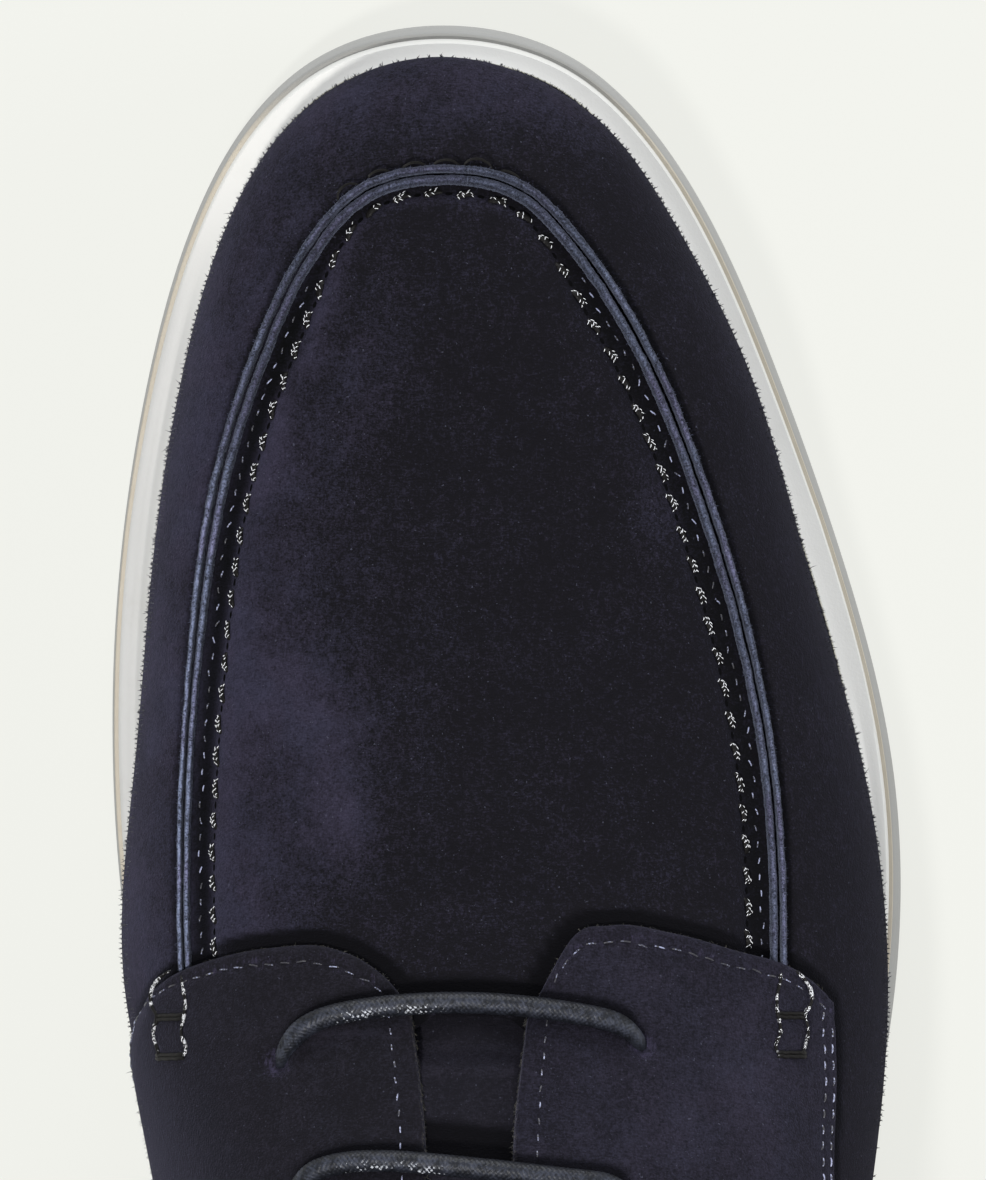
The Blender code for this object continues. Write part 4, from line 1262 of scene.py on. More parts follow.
place, ahead, out, raised, arc = beside_seam(HAND_INSIDE)
hand = Bundle()
holes = Bundle()
middle = 3.5
while middle < arc[-1] - 3.0:
    share = np.linspace(-0.5, 0.5, DASH_SLOTS + 1)
    long = HAND_LONG * random.uniform(0.9, 1.08)
    index = at_arc(middle + share * long, arc)
    lift = 0.52 * np.cos(np.pi * share) ** 0.6 - 0.24
    slant = 0.34 * share * 2 + 0.10 * random.normal()
    route = place[index] + raised[index] * lift[:, None] + out[index] * slant[:, None]
    swell = 0.62 + 0.38 * np.cos(np.pi * share) ** 0.5
    points, faces, _, glint = braid(route, raised[index], HAND_WIDE, HAND_HIGH, HAND_TWIST, HAND_STRANDS,
                                    HAND_DEPTH, HAND_SIDES, swell)
    hand.add(points, faces, glint=glint * 0.12)
    for row in range(DASH_ROWS):
        for file in (-1, 0, 1):
            if random.uniform() < 0.20 + 0.25 * (place[index[DASH_SLOTS // 2], 0] > TOE_TURN + 2):
                continue
            k = int(DASH_SLOTS * (row + 0.5 + 0.25 * abs(file) + 0.14 * random.normal()) / DASH_ROWS)
            k = min(max(k, 1), DASH_SLOTS - 1)
            away = file * HAND_WIDE * 0.36 + 0.04 * random.normal()
            top = HAND_HIGH * swell[k] * 0.5 * (1 - 0.45 * (2 * away / HAND_WIDE) ** 2)
            centre = route[k] + raised[index[k]] * top + out[index[k]] * away
            slope = (file or (-1) ** row) * random.uniform(0.6, 1.5)
            way = unit(ahead[index[k]] + out[index[k]] * slope)
            along = np.array([-0.5, -0.2, 0.2, 0.5]) * DASH_LONG * random.uniform(0.7, 1.1)
            dash = centre + way * along[:, None]
            dash = dash + raised[index[k]] * np.array([-0.06, 0.03, 0.03, -0.06])[:, None]
            hand.add(*tube(dash, DASH_THICK * np.array([0.5, 1, 1, 0.5]), 6), glint=random.uniform(0.8, 1.6))
    k = at_arc(np.array(middle + HAND_PITCH / 2), arc)
    turn = np.arange(HOLE_SIDES)[:, None] * 2 * np.pi / HOLE_SIDES
    oval = ahead[k] * np.cos(turn) * 1.5 + out[k] * np.sin(turn) * 0.8
    holes.add(place[k] + raised[k] * 0.07 + oval * HOLE_RADIUS, [tuple(range(HOLE_SIDES))[::-1]])
    middle += HAND_PITCH * random.uniform(0.97, 1.03)
hand.made("hand_stitches", waxed, "lace_cord")
holes.made("needle_holes", hole_dark, "suede")


def sew(bundle, path, up, pitch, long, thick, lift, jitter, worn=(0.0, 1.0)):
    """A row of machine stitches along a path, each a short arch of thread that dips in at both ends, its
    painted glint drawn from the worn range.
    """
    place, _, out, raised, arc = resampled(path, up, FINE)
    share = np.linspace(-0.5, 0.5, 7)
    for k in range(int(arc[-1] / pitch)):
        index = at_arc((k + 0.5) * pitch + share * pitch * long, arc)
        arch = thick * (1.25 * np.cos(np.pi * share) ** 0.7 - 0.55) + lift
        side = jitter * random.normal() + jitter * 1.6 * share * random.normal()
        route = place[index] + raised[index] * arch[:, None] + out[index] * np.reshape(side, (-1, 1))
        rows = tube(route, thick * (0.75 + 0.25 * np.cos(np.pi * share)), 6)
        bundle.add(*rows, worn=random.uniform(*worn))


place, _, _, raised, _ = beside_seam(MACHINE_INSIDE)
machine = Bundle()
for part in (place[:, 1] > APRON_TIP[1], place[:, 1] <= APRON_TIP[1]):
    part = part & (place[:, 0] < MACHINE_FRONT)
    sew(machine, place[part][::3], raised[part][::3], MACHINE_PITCH,
        long=MACHINE_LONG, thick=THREAD_THICK, lift=0.08, jitter=0.14, worn=(-0.5, 1.2))
machine.made("apron_machine_stitch", thread, "suede")

# LINING. Soft tan leather inside the whole upper, glued to the suede and skived at its edges. It shows
# inside the collar and behind the tongue.

LINING_OUT = 0.9                        # its two faces, under the suede's face
LINING_IN = 1.75
LINING_BACK = 2.5                       # how far its edge stays away from the throat's, at the sides
LINING_THROAT = THROAT + 3.0            # and in front
LINING_SINKS = 140.0                    # from here on it lies deeper, under the pulled-down apron
LINING_COLUMNS = 150
LINING_ROWS = 44
CORNER_SOFT = 0.012                     # rounds the corner where facing and collar meet


def top_level(stations, side, half):
    """The upper's top edge: the throat's edge in front, the collar behind, with a soft corner between."""
    slot = throat_level(np.maximum(stations, SLOT_BACK), side, half)
    collar = level_of_collar(stations, side)
    return -CORNER_SOFT * np.log(np.exp(-slot / CORNER_SOFT) + np.exp(-collar / CORNER_SOFT))


def layer(outer, inner, flip):
    """Points and faces of a closed sheet between two grids."""
    rows, columns = outer.shape[:2]
    points = np.vstack([outer.reshape(-1, 3), inner.reshape(-1, 3)])
    below = rows * columns
    faces = grid_faces(rows, columns, 0, flip) + grid_faces(rows, columns, below, not flip)
    rim = list(range(columns)) + [r * columns + columns - 1 for r in range(1, rows)]
    rim += [(rows - 1) * columns + c for c in range(columns - 2, -1, -1)]
    rim += [r * columns for r in range(rows - 2, 0, -1)]
    for a, b in zip(rim, rim[1:] + rim[:1]):
        face = (a, b, b + below, a + below)
        faces.append(face if flip else face[::-1])
    return points, faces


lining_leather = leather("lining_leather", (0.34, 0.22, 0.125), (0.46, 0.32, 0.20), 0.55)
lining_points = []
lining_faces = []
for side in (MEDIAL, LATERAL):
    stations = spaced(UPPER.heel, UPPER.toe, LINING_COLUMNS)
    opening = (THROAT_HALF + LINING_BACK) * np.sqrt(np.clip((LINING_THROAT - stations) / THROAT_ROUND, 0, 1))
    top = top_level(np.minimum(stations, LINING_THROAT), side, opening)
    top = np.where(stations < LINING_THROAT, top, 1.0)
    levels = np.linspace(0.01, 1, LINING_ROWS)[:, None] * top
    skin = upper_point(stations, levels, side)
    normal = upper_normal(stations, levels, side)
    front = ease((stations - LINING_SINKS) / 15)[:, None]
    outer = skin - normal * (LINING_OUT + 0.95 * front)
    body, sheet = layer(outer, skin - normal * (LINING_IN + 0.6 * front), side == MEDIAL)
    lining_faces += [tuple(i + len(lining_points) * len(body) for i in face) for face in sheet]
    lining_points.append(body)
lining = make("lining", np.vstack(lining_points), lining_faces, lining_leather)

# QUARTERS. Two pieces of the same suede, lapped over the vamp: each runs from the back seam to the facing,
# with punched eyelets, a raw edge, and rows of violet stitching along it. Their front corners lie over the
# seam's ends. A shadow is painted on the vamp just in front of them.

QUARTER_BASE = 0.15                     # under side over the upper's face
QUARTER_THICK = 1.55
QUARTER_SKIVED = 0.95                   # thickness along the lower edge
QUARTER_ROUND = 0.85
QUARTER_FRONT = 166.0
ARCH_BACK = 26.0                        # the arch of the front edge dies away over this length
BACK_SEAM = 0.0012                      # keeps the two quarters apart at the back
FRONT_EDGE = (                          # share of the way from throat to outer corner, arch medial, lateral
    (0.0, 0.0, -1.5),
    (0.05, 3.6, 4.0),
    (0.12, 6.6, 10.2),
    (0.22, 8.6, 11.7),
    (0.40, 8.6, 10.6),
    (0.60, 7.1, 8.2),
    (0.80, 4.6, 5.9),
    (0.93, 2.2, 3.1),
    (1.0, 0.3, 1.0),
)
QUARTER_FOOT = 0.018
LOWER_EDGE = (                          # station, level of the lower edge medial, lateral
    (75.0, QUARTER_FOOT, QUARTER_FOOT),
    (90.0, QUARTER_FOOT, 0.08),
    (106.0, QUARTER_FOOT, 0.20),
    (125.0, 0.04, 0.34),
    (140.0, 0.08, 0.43),
    (156.6, 0.20, 0.46),
    (166.0, 0.385, 0.475),
)
FACING_EDGE = (                         # station, half width of the throat between the facings
    (97.0, 9.0),
    (120.0, 6.6),
    (150.0, 6.1),
    (166.0, 7.9),
)
# Rows and columns by their distance from the top, lower and front edges. Even ones lie between them.
TOP_ROWS = (4.6, 4.1, 3.75, 3.5, 3.3, 3.1, 2.85, 2.4, 1.8, 1.3, 0.9, 0.6, 0.35, 0.18, 0.07, 0.0)
LOW_ROWS = (0.0, 0.07, 0.18, 0.35, 0.6, 0.85, 1.1, 1.35, 1.7, 2.2, 2.7, 3.0, 3.3, 3.8, 4.5)
FRONT_ROWS = (4.0, 3.3, 2.8, 2.4, 2.1, 1.9, 1.7, 1.4, 1.1, 0.8, 0.55, 0.35, 0.18, 0.07, 0.0)
QUARTER_EVEN = 60
QUARTER_COLUMNS = (110, 34, 110)        # crowded ones, how many of those go, even ones in their place
QUARTER_COLUMNS_TO = 150.0
EDGE_THIN = 0.35                        # thickness right at the cut edge
CHANNEL_DEEP = 0.14                     # the stitching lies in soft channels
CHANNEL_HALF = 0.42
LOWER_CHANNEL_HALF = 0.36
QUARTER_PITCH = 2.45
FACING_STITCH_BACK = 96.0               # the rows, the loose fibres and the dark lap begin at these stations
LOWER_STITCH_BACK = 84.0
EDGE_FIBRES_BACK = 99.0
LAP_BACK = 90.0
FACING_STITCH = 3.3                     # rows of stitching: distances from the edges
FRONT_STITCH = 2.4
LOWER_STITCHES = (1.1, 3.0)
# ranges of painted glint on the two lower rows
LOWER_GLINTS = ((0.0, 0.85), (-0.3, 0.75))
LACES = (                               # station and y of both eyelets, the run's ends, its arch, its turns
    (158.5, 31.3, 161.0, -18.5, 163.1, 162.6, 3.3, 8, 16),
    (140.3, 29.4, 139.5, -17.0, 145.9, 140.8, 0.0, 4, 20),
    (125.5, 28.0, 124.9, -14.8, 128.2, 125.8, 0.3, 6, 12),
    (108.5, 26.8, 108.3, -14.2, 110.3, 109.2, 0.3, 6, 12),
)
EYELET_DIP = 1.5
EYELET_WIDE = 1.75
EDGE_FIBRES = 620
LAP_SHADOW_REACH = 3.1                          # how far the painted shadow reaches on the vamp in front of the quarters
VAMP_LACE_SHADOW = 4.6                    # the same for the painted shadow in front of each lace, on the vamp and on the quarters
QUARTER_LACE_SHADOW = 3.2
MEDIAL_SUEDE = ((0.0089, 0.0084, 0.0108), (0.0285, 0.0264, 0.0392), 0.10)
LATERAL_SUEDE = ((0.0092, 0.0087, 0.0123), (0.0350, 0.0318, 0.0520), 0.22)
RUBBED_NAP = (0.062, 0.054, 0.100)
CUT_EDGE = ((0.010, 0.010, 0.011), (0.150, 0.138, 0.112))
QUARTER_LIGHT_PATCHES = (                     # painted light patches, painted shade where the share is below 0: station and y, reach along and across, share
    (157.0, -31.0, 9.0, 6.0, 0.26),
    (146.0, -22.0, 6.0, 9.0, 0.16),
    (166.0, 24.0, 4.0, 9.0, 0.10),
    (171.0, -14.0, 4.0, 6.0, 0.12),
    (163.5, -32.5, 4.0, 5.0, 0.14),
    (144.0, -34.0, 6.0, 4.0, 0.14),
    (150.0, -25.0, 4.0, 3.0, 0.12),
    (143.0, 48.0, 18.0, 7.0, -0.25),
    (162.5, 21.5, 0.6, 7.0, 0.45),
    (161.0, 25.0, 0.5, 4.5, 0.28),
    (164.5, 12.5, 3.0, 4.0, 0.10),
)


def lace_station(lace, share):
    """Where a lace bar lies at a share of its way from the medial to the lateral eyelet."""
    medial, _, lateral, _, run_medial, run_lateral, arch, medial_turn, lateral_turn = lace
    share = np.asarray(share, float)
    straight = medial + (lateral - medial) * share
    run = run_medial + (run_lateral - run_medial) * share + arch * (1 - (2 * share - 1) ** 2)
    turn = np.where(share < 0.5, medial_turn, lateral_turn)
    return straight + (run - straight) * (1 - np.minimum(abs(2 * share - 1), 1) ** turn)


def lace_shade(points, reach):
    """Painted shadow just in front of each lace, from 1 at the lace to 0 at the reach."""
    shade = np.zeros(points.shape[:-1])
    for lace in LACES:
        across = (lace[1] - points[..., 1]) / (lace[1] - lace[3])
        on_bar = ease((across + 0.01) / 0.05) * ease((1.01 - across) / 0.05)
        ahead = points[..., 0] - lace_station(lace, across) - 0.9
        shade = np.maximum(shade, ease((reach - ahead) / 1.6) * ease((ahead + 1) / 1.0) * on_bar)
    return shade


def rounded(from_edge, radius):
    """The rise of a round edge: 0 at the edge, 1 from the radius on."""
    return np.sqrt(np.clip(1 - (1 - np.clip(from_edge / radius, 0, 1)) ** 2, 0, 1))


edge_fibres = Bundle()
quarter_skin = {}
lap_line = []
for side, name in ((MEDIAL, "quarter_medial"), (LATERAL, "quarter_lateral")):
    dull, pale, base = MEDIAL_SUEDE if side == MEDIAL else LATERAL_SUEDE
    hide = suede(name + "_suede", dull, pale, sheen=0.16, lean=0.12, base=base)
    scuffed = hide.noise(1.0, 4, 0.7, out=9) * hide.noise(0.35, 3, 0.6, stretch=(0.3, 1, 1), out=2)
    rubbed = hide.sharpen(hide.read("rub") * 0.42 + scuffed, 0.44, 0.70)
    worn = hide.mix(rubbed * 0.55, hide.tone, RUBBED_NAP)
    # Painted shadow in front of the laces.
    worn = hide.mix(hide.read("shaded") * 0.8, worn, NAP_SHADED)
    edge_tone = hide.mix(hide.sharpen(hide.noise(0.5, 3, 0.7, out=5), 0.50, 0.62), *CUT_EDGE)
    hide.set("Base Color", hide.mix(hide.read("cut") * 0.65, worn, edge_tone))
    column = 1 if side == MEDIAL else 2
    front = QUARTER_FRONT - np.array(FRONT_ROWS)
    crowded, dropped, even = QUARTER_COLUMNS
    back = spaced(UPPER.heel + BACK_SEAM, QUARTER_COLUMNS_TO, crowded)[:-dropped + 1]
    stations = np.concatenate([back[:-1], np.linspace(back[-1], front[0], even)[:-1], front])
    top = top_level(stations, side, read(FACING_EDGE, 1, stations))
    bottom = read(LOWER_EDGE, column, stations)
    levels = rows_by_arc(stations, side, bottom, top, LOW_ROWS, QUARTER_EVEN, TOP_ROWS)
    share = (top - levels) / (top - bottom)
    forward = read(FRONT_EDGE, column, share) * ease(1 - (QUARTER_FRONT - stations) / ARCH_BACK)
    skin = upper_point(stations + forward, levels, side)
    normal = upper_normal(stations + forward, levels, side)
    arc = up_sections(skin)
    from_top = arc[-1] - arc
    from_front = np.broadcast_to(QUARTER_FRONT - stations, arc.shape)
    from_edge = np.minimum(np.minimum(from_top, arc), from_front)
    body = rounded(from_edge, QUARTER_ROUND)
    whole = QUARTER_SKIVED + (QUARTER_THICK - QUARTER_SKIVED) * ease((arc - 2) / 9)
    thick = EDGE_THIN + (whole - EDGE_THIN) * body
    facing = ease((stations - FACING_STITCH_BACK + 4) / 8)
    lower = ease((stations - LOWER_STITCH_BACK + 4) / 10)
    upper_corner = ease(share / 0.05)
    channel = np.exp(-((from_top - FACING_STITCH) / CHANNEL_HALF) ** 2) * facing
    channel = np.maximum(channel, np.exp(-((from_front - FRONT_STITCH) / CHANNEL_HALF) ** 2) * upper_corner)
    for distance in LOWER_STITCHES:
        channel = np.maximum(channel, np.exp(-((arc - distance) / LOWER_CHANNEL_HALF) ** 2) * lower)
    rub = np.zeros(arc.shape)
    dip = CHANNEL_DEEP * channel
    for lace in LACES:
        spot = lace[:2] if side == MEDIAL else lace[2:4]
        away = np.hypot(skin[..., 0] - spot[0], skin[..., 1] - spot[1])
        dip = dip + EYELET_DIP * np.exp(-(away / EYELET_WIDE) ** 2)
        rub = np.maximum(rub, 0.8 * hump(away, 1.0, 2.4))
    rub = np.maximum(rub, 0.5 * hump(from_front, 2.0, 2.6) * upper_corner)
    outer = skin + normal * (QUARTER_BASE + thick - dip)[..., None]
    inner = skin + normal * QUARTER_BASE
    points, faces = layer(outer, inner, side == MEDIAL)
    cut = np.clip(1 - from_edge / 0.45, 0, 1) * np.where(from_top < from_front, 1, 0.3)
    values = {"rub": rub, "cut": cut, "shaded": lace_shade(skin, QUARTER_LACE_SHADOW),
              "painted_light": light_patches_at(skin, QUARTER_LIGHT_PATCHES)}
    values = {key: np.concatenate([amount.ravel()] * 2) for key, amount in values.items()}
    quarter = make(name + "_suede", points, faces, hide, values, 60)
    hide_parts(name)
    quarter_skin[side] = (outer, normal)
    lap_line += [tuple(point) for point in outer[4:, -1]]
    lap_line += [tuple(point) for point in outer[0, stations > LAP_BACK]]

    rows = Bundle()
    facing_row = len(levels) - len(TOP_ROWS) + TOP_ROWS.index(FACING_STITCH)
    front_column = len(stations) - len(FRONT_ROWS) + FRONT_ROWS.index(FRONT_STITCH)
    on_facing = facing_row, (stations > FACING_STITCH_BACK) & (stations < QUARTER_FRONT - FRONT_STITCH)
    down_front = slice(facing_row - 1, 4, -1), front_column
    sew(rows, outer[on_facing], normal[on_facing], QUARTER_PITCH,
        long=0.36, thick=0.11, lift=0.07, jitter=0.06, worn=(-0.2, 0.85))
    sew(rows, outer[down_front], normal[down_front], QUARTER_PITCH,
        long=0.55, thick=0.10, lift=0.05, jitter=0.09, worn=(-0.6, 0.4))
    for distance, worn in zip(LOWER_STITCHES, LOWER_GLINTS):
        on_low = LOW_ROWS.index(distance), (stations > LOWER_STITCH_BACK) & (stations < QUARTER_FRONT - 1.5)
        sew(rows, outer[on_low], normal[on_low], MACHINE_PITCH,
            long=0.52, thick=0.12, lift=0.07, jitter=0.09, worn=worn)
    rows.made(name + "_stitching", thread, "suede")

    facing_columns = np.flatnonzero(stations > EDGE_FIBRES_BACK)
    rim = [(outer[-1, k], unit(outer[-1, k] - outer[-4, k])) for k in facing_columns]
    rim += [(outer[k, -1], unit(outer[k, -1] - outer[k, -4])) for k in range(len(levels) - 2, 8, -1)]
    picked = random.integers(0, len(rim), EDGE_FIBRES)
    root = np.array([rim[k][0] for k in picked]) + random.normal(size=(EDGE_FIBRES, 3)) * 0.10
    way = unit(np.array([rim[k][1] for k in picked]) + random.normal(size=(EDGE_FIBRES, 3)) * 0.35)
    fringe(edge_fibres, root, way, random.uniform(0.15, 0.55, EDGE_FIBRES), HAIR_THICK, random)

lap_tree = KDTree(len(lap_line))
for k, point in enumerate(lap_line):
    lap_tree.insert(point, k)
lap_tree.balance()
vamp_points = np.array([vertex.co for vertex in vamp.data.vertices]) / MM - (HEEL_BACK / MM, 0, 0)
# Painted shadow on the vamp in front of the laces and of the quarters' edges.
lap_shade = lace_shade(vamp_points, VAMP_LACE_SHADOW)
for k in np.flatnonzero((vamp_points[:, 0] > 80) & (vamp_points[:, 0] < 185)):
    far = lap_tree.find(vamp_points[k])[2]
    lap_shade[k] = max(lap_shade[k], ease((LAP_SHADOW_REACH - far) / 0.9))
lap_shadow = vamp.data.attributes.new("lap_shadow", "FLOAT", "POINT")
lap_shadow.data.foreach_set("value", (0.97 * lap_shade).astype(np.float32))

cut_fibre = fibres("cut_fibre", 0.9, 0.42, 0.62, (0.012, 0.012, 0.013), (0.090, 0.085, 0.070), 0.2)
edge_fibres.made("quarter_edge_fibres", cut_fibre, "suede")

# BAR TACKS. Where the seam runs under a quarter, its front corner is tacked down by hand: two rough lines
# of the waxed thread, one on each side of the seam's end, with two short bars of plain thread across them.

TACK_MIDDLE = {MEDIAL: 45.3, LATERAL: -38.3}
TACK_LINES = (                          # station and distance from the middle
    ((171.4, 0.3), (170.4, 1.5), (168.6, 2.45), (166.4, 2.35), (164.9, 1.7),
     (163.6, 2.05), (161.6, 1.9), (160.0, 1.4), (159.2, 1.2)),
    ((171.2, -1.3), (170.0, -1.5), (168.4, -1.9), (166.0, -2.05),
     (164.2, -1.75), (162.4, -1.65), (160.8, -2.25), (159.4, -1.8)),
)
TACK_BARS = (165.0, 159.6)
TACK_WIDE = 0.62
TACK_HIGH = 0.5
TACK_TWIST = 2.2
TACK_STRANDS = 6
TACK_DEPTH = 0.09
TACK_SIDES = 18
TACK_LIFT = 0.16
TACK_STEP = 0.09
TACK_BAR_THICK = 0.30
TACK_BAR_HALF = 1.9
TACK_BAR_APART = 0.24                   # each bar is two strands, on either side of its station


def over_form(station, y, lift):
    """A point over the upper's form at a station and y, lifted square to it."""
    side = MEDIAL if y > read(LAST, RIDGE_Y, station) else LATERAL
    level = level_across(np.array([station]), side, np.array([y]))
    return (upper_point(station, level, side) + upper_normal(station, level, side) * lift)[0]


tacks = Bundle()
lie = QUARTER_BASE + QUARTER_THICK + TACK_LIFT
for side in (MEDIAL, LATERAL):
    for line in TACK_LINES:
        route = [over_form(station, TACK_MIDDLE[side] + side * away,
                           lie - 0.5 * ease((station - 169.5) / 1.8)) for station, away in line]
        fine = smooth_path(route, samples=16)
        guide = np.broadcast_to((0.0, side * 0.4, 0.9), fine.shape)
        fine, _, out, raised, arc = resampled(fine, guide, TACK_STEP)
        fine = fine + out * (0.06 * wander(len(fine), 5, random))[:, None]
        swell = 0.3 + 0.7 * ease(np.minimum(arc, arc[-1] - arc) / 0.8)
        swell = (0.8 + 0.25 * wander(len(fine), 7, random)) * swell
        points, faces, _, glint = braid(fine, raised, TACK_WIDE, TACK_HIGH, TACK_TWIST,
                                        TACK_STRANDS, TACK_DEPTH, TACK_SIDES, swell)
        # Painted highlights in patches along each line.
        patchy = ease(0.45 + wander(len(fine), 6, random) * 1.5)
        tacks.add(points, faces, glint=glint * (0.25 + 1.5 * np.repeat(patchy, TACK_SIDES)))
    for station in TACK_BARS:
        for shift in (-TACK_BAR_APART, TACK_BAR_APART):
            route = [over_form(station + shift + 0.1 * math.sin(7 * away), TACK_MIDDLE[side] + side * away,
                               lie - 0.12 - 0.25 * (abs(away) > 1.5))
                     for away in np.linspace(-TACK_BAR_HALF, TACK_BAR_HALF, 9)]
            tacks.add(*tube(smooth_path(route, samples=4), TACK_BAR_THICK, 8), glint=0.34)
tacks.made("bar_tacks", waxed, "lace_cord")

# NAP FRINGE. Loose fibres of the suede that stand out past its edge all round and lie dark over the white
# welt.

NAP_THICK = 0.055
VAMP_FRINGE = {MEDIAL: (150, 300, 4200), LATERAL: (118, 300, 4200)}      # stations from and to, fibres
QUARTER_FRINGE = (8, 158, 1100)

nap_fibre = fibres("nap_fibre", 1.5, 0.35, 0.65, (0.013, 0.013, 0.018), (0.040, 0.041, 0.062), 0.3)
fringe_fibres = Bundle()
for side in (MEDIAL, LATERAL):
    for (skin, normal), reach in ((vamp_skin[side], VAMP_FRINGE[side]), (quarter_skin[side], QUARTER_FRINGE)):
        back, front, amount = reach
        edge_on = (abs(normal[..., 2] - 0.05) < 0.2) & (skin[..., 0] > back) & (skin[..., 0] < front)
        root = skin[edge_on]
        way = normal[edge_on]
        picked = random.integers(0, len(root), amount)
        lean = unit(way[picked] + random.normal(size=(amount, 3)) * 0.5)
        long = random.uniform(0.12, 0.5, amount) + 0.35 * (random.uniform(0, 1, amount) > 0.97)
        fringe(fringe_fibres, root[picked], lean, long, NAP_THICK, random)
fringe_fibres.made("nap_fringe", nap_fibre, "suede")

# TOPLINE. The collar's edge is a rolled strip of the same suede, turned over the lining and sewn down. It
# runs round the heel from one facing to the other and thins out at both ends.

ROLL_WIDE = 1.85
ROLL_HIGH = 1.35
ROLL_SIDES = 14
ROLL_STEP = 0.8
ROLL_FRONT = 100.0

roll_suede = suede("topline_suede")
roll_suede.set("Base Color", roll_suede.tone)
path = []
up = []
for side in (MEDIAL, LATERAL):
    stations = spaced(UPPER.heel, 200, 260)
    stations = stations[stations < ROLL_FRONT]
    top = top_level(stations, side, read(FACING_EDGE, 1, stations))
    order = slice(None, None, -1) if side == MEDIAL else slice(1, None)
    path.append(upper_point(stations, top, side)[order])
    up.append(upper_normal(stations, top, side)[order])
place, _, out, raised, arc = resampled(np.vstack(path), np.vstack(up), ROLL_STEP)
angle = np.arange(ROLL_SIDES) * 2 * np.pi / ROLL_SIDES
taper = 0.45 + 0.55 * ease(np.minimum(arc, arc[-1] - arc) / 3)
wide = raised[:, None] * (ROLL_WIDE * taper[:, None] * np.cos(angle))[..., None]
high = out[:, None] * (ROLL_HIGH * taper[:, None] * np.sin(angle))[..., None]
ringed = (place - raised * 0.05)[:, None] + wide + high
faces = ring_faces(len(place), ROLL_SIDES) + end_caps(len(place), ROLL_SIDES)
roll = make("topline_roll", ringed.reshape(-1, 3), faces, roll_suede)

# TONGUE. A strip of suede backed with leather, sewn to the vamp under the throat. It stands up past the top
# eyelets with rounded corners, and is a little padded.

TONGUE_FRONT = 171.0
TONGUE_BACK = 87.0
TONGUE_HALF = (17.0, 21.0)              # half its width in front and behind
TONGUE_UNDER = WALL + 0.6
TONGUE_SWELL = 2.2                      # how far it rises between the facings
TONGUE_SWELL_HALF = 8.9
TONGUE_SWELL_FRONT = 163.0
TONGUE_THICK = 2.2
TONGUE_ROUND = 1.1
TONGUE_CORNER = 9.0
TONGUE_COLUMNS = 57
TONGUE_ROWS = 150
TONGUE_LACE_SHADOW = 7.4

tongue_suede = suede("tongue_suede", (0.0100, 0.0096, 0.0130), (0.0310, 0.0284, 0.0415))
# Painted shadow in front of each lace.
tongue_shade = tongue_suede.read("shaded") * 0.96
tongue_suede.set("Base Color", tongue_suede.mix(tongue_shade, tongue_suede.tone, NAP_SHADED))
stations = np.linspace(TONGUE_FRONT, TONGUE_BACK, TONGUE_ROWS)
half = np.linspace(*TONGUE_HALF, TONGUE_ROWS)
corner = np.clip(1 - (stations - TONGUE_BACK) / TONGUE_CORNER, 0, 1)
half = half - TONGUE_CORNER * (1 - np.sqrt(1 - corner ** 2))
skins = []
normals = []
shares = np.sin(np.linspace(-np.pi / 2, np.pi / 2, TONGUE_COLUMNS))
for share in shares:
    side = MEDIAL if share > 0 else LATERAL
    level = throat_level(stations, side, abs(share) * half)
    skins.append(upper_point(stations, level, side))
    normals.append(upper_normal(stations, level, side))
skins = np.array(skins)
normals = np.array(normals)
from_middle = abs(shares[:, None]) * half
from_side = (1 - abs(shares[:, None])) * half
from_edge = np.minimum(from_side, (stations - TONGUE_BACK)[None])
body = rounded(from_edge, TONGUE_ROUND)
swell = ease((TONGUE_SWELL_HALF - from_middle) / 2.4) * ease((TONGUE_SWELL_FRONT - stations) / 6)
under = TONGUE_UNDER - TONGUE_SWELL * swell
outer = skins - normals * (under + TONGUE_THICK * 0.5 * (1 - body))[..., None]
inner = skins - normals * (under + TONGUE_THICK * (0.5 + 0.5 * body))[..., None]
shaded = {"shaded": np.concatenate([lace_shade(skins, TONGUE_LACE_SHADOW).ravel()] * 2)}
tongue = make("tongue_suede", *layer(outer, inner, True), tongue_suede, shaded, 60)
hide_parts("tongue")

# LACES. One round waxed braid, laced straight. Each bar comes up through a punched eyelet, crosses the
# throat and goes down through the other. The two hidden ends stop at the top eyelets.

LACE_RADIUS = 1.52
LACE_LIE = QUARTER_BASE + QUARTER_THICK + LACE_RADIUS
LACE_RUN = (                            # share of the way across, height of the cord's middle over the form
    (0.0, -3.2),
    (0.0, -1.6),
    (0.004, -0.1),
    (0.018, 1.1),
    (0.045, 2.1),
    (0.09, LACE_LIE - 0.2),
    (0.15, LACE_LIE),
    (0.24, LACE_LIE),
    (0.36, LACE_LIE + 0.1),
    (0.5, LACE_LIE + 0.15),
    (0.64, LACE_LIE + 0.1),
    (0.76, LACE_LIE),
    (0.85, LACE_LIE),
    (0.91, LACE_LIE - 0.2),
    (0.955, 2.1),
    (0.982, 1.1),
    (0.996, -0.1),
    (1.0, -1.6),
    (1.0, -3.2),
)
BRAID_PITCH = 7.0                       # length of one turn of a braid strand
BRAID_STRANDS = 10
BRAID_DEPTH = 0.25
LACE_SIDES = 48
LACE_STEP = 0.17

cord = Finish("waxed_lace", roughness=0.45, specular_ior_level=0.25, coat_weight=0.04, coat_roughness=0.25)
cord_wax = cord.noise(0.4, 4, 0.65)
cord_cloud = cord.sharpen(cord.noise(1.3, 4, 0.6), 0.36, 0.62)
cord_tone = cord.mix(cord_cloud, (0.011, 0.013, 0.019), (0.043, 0.049, 0.071))
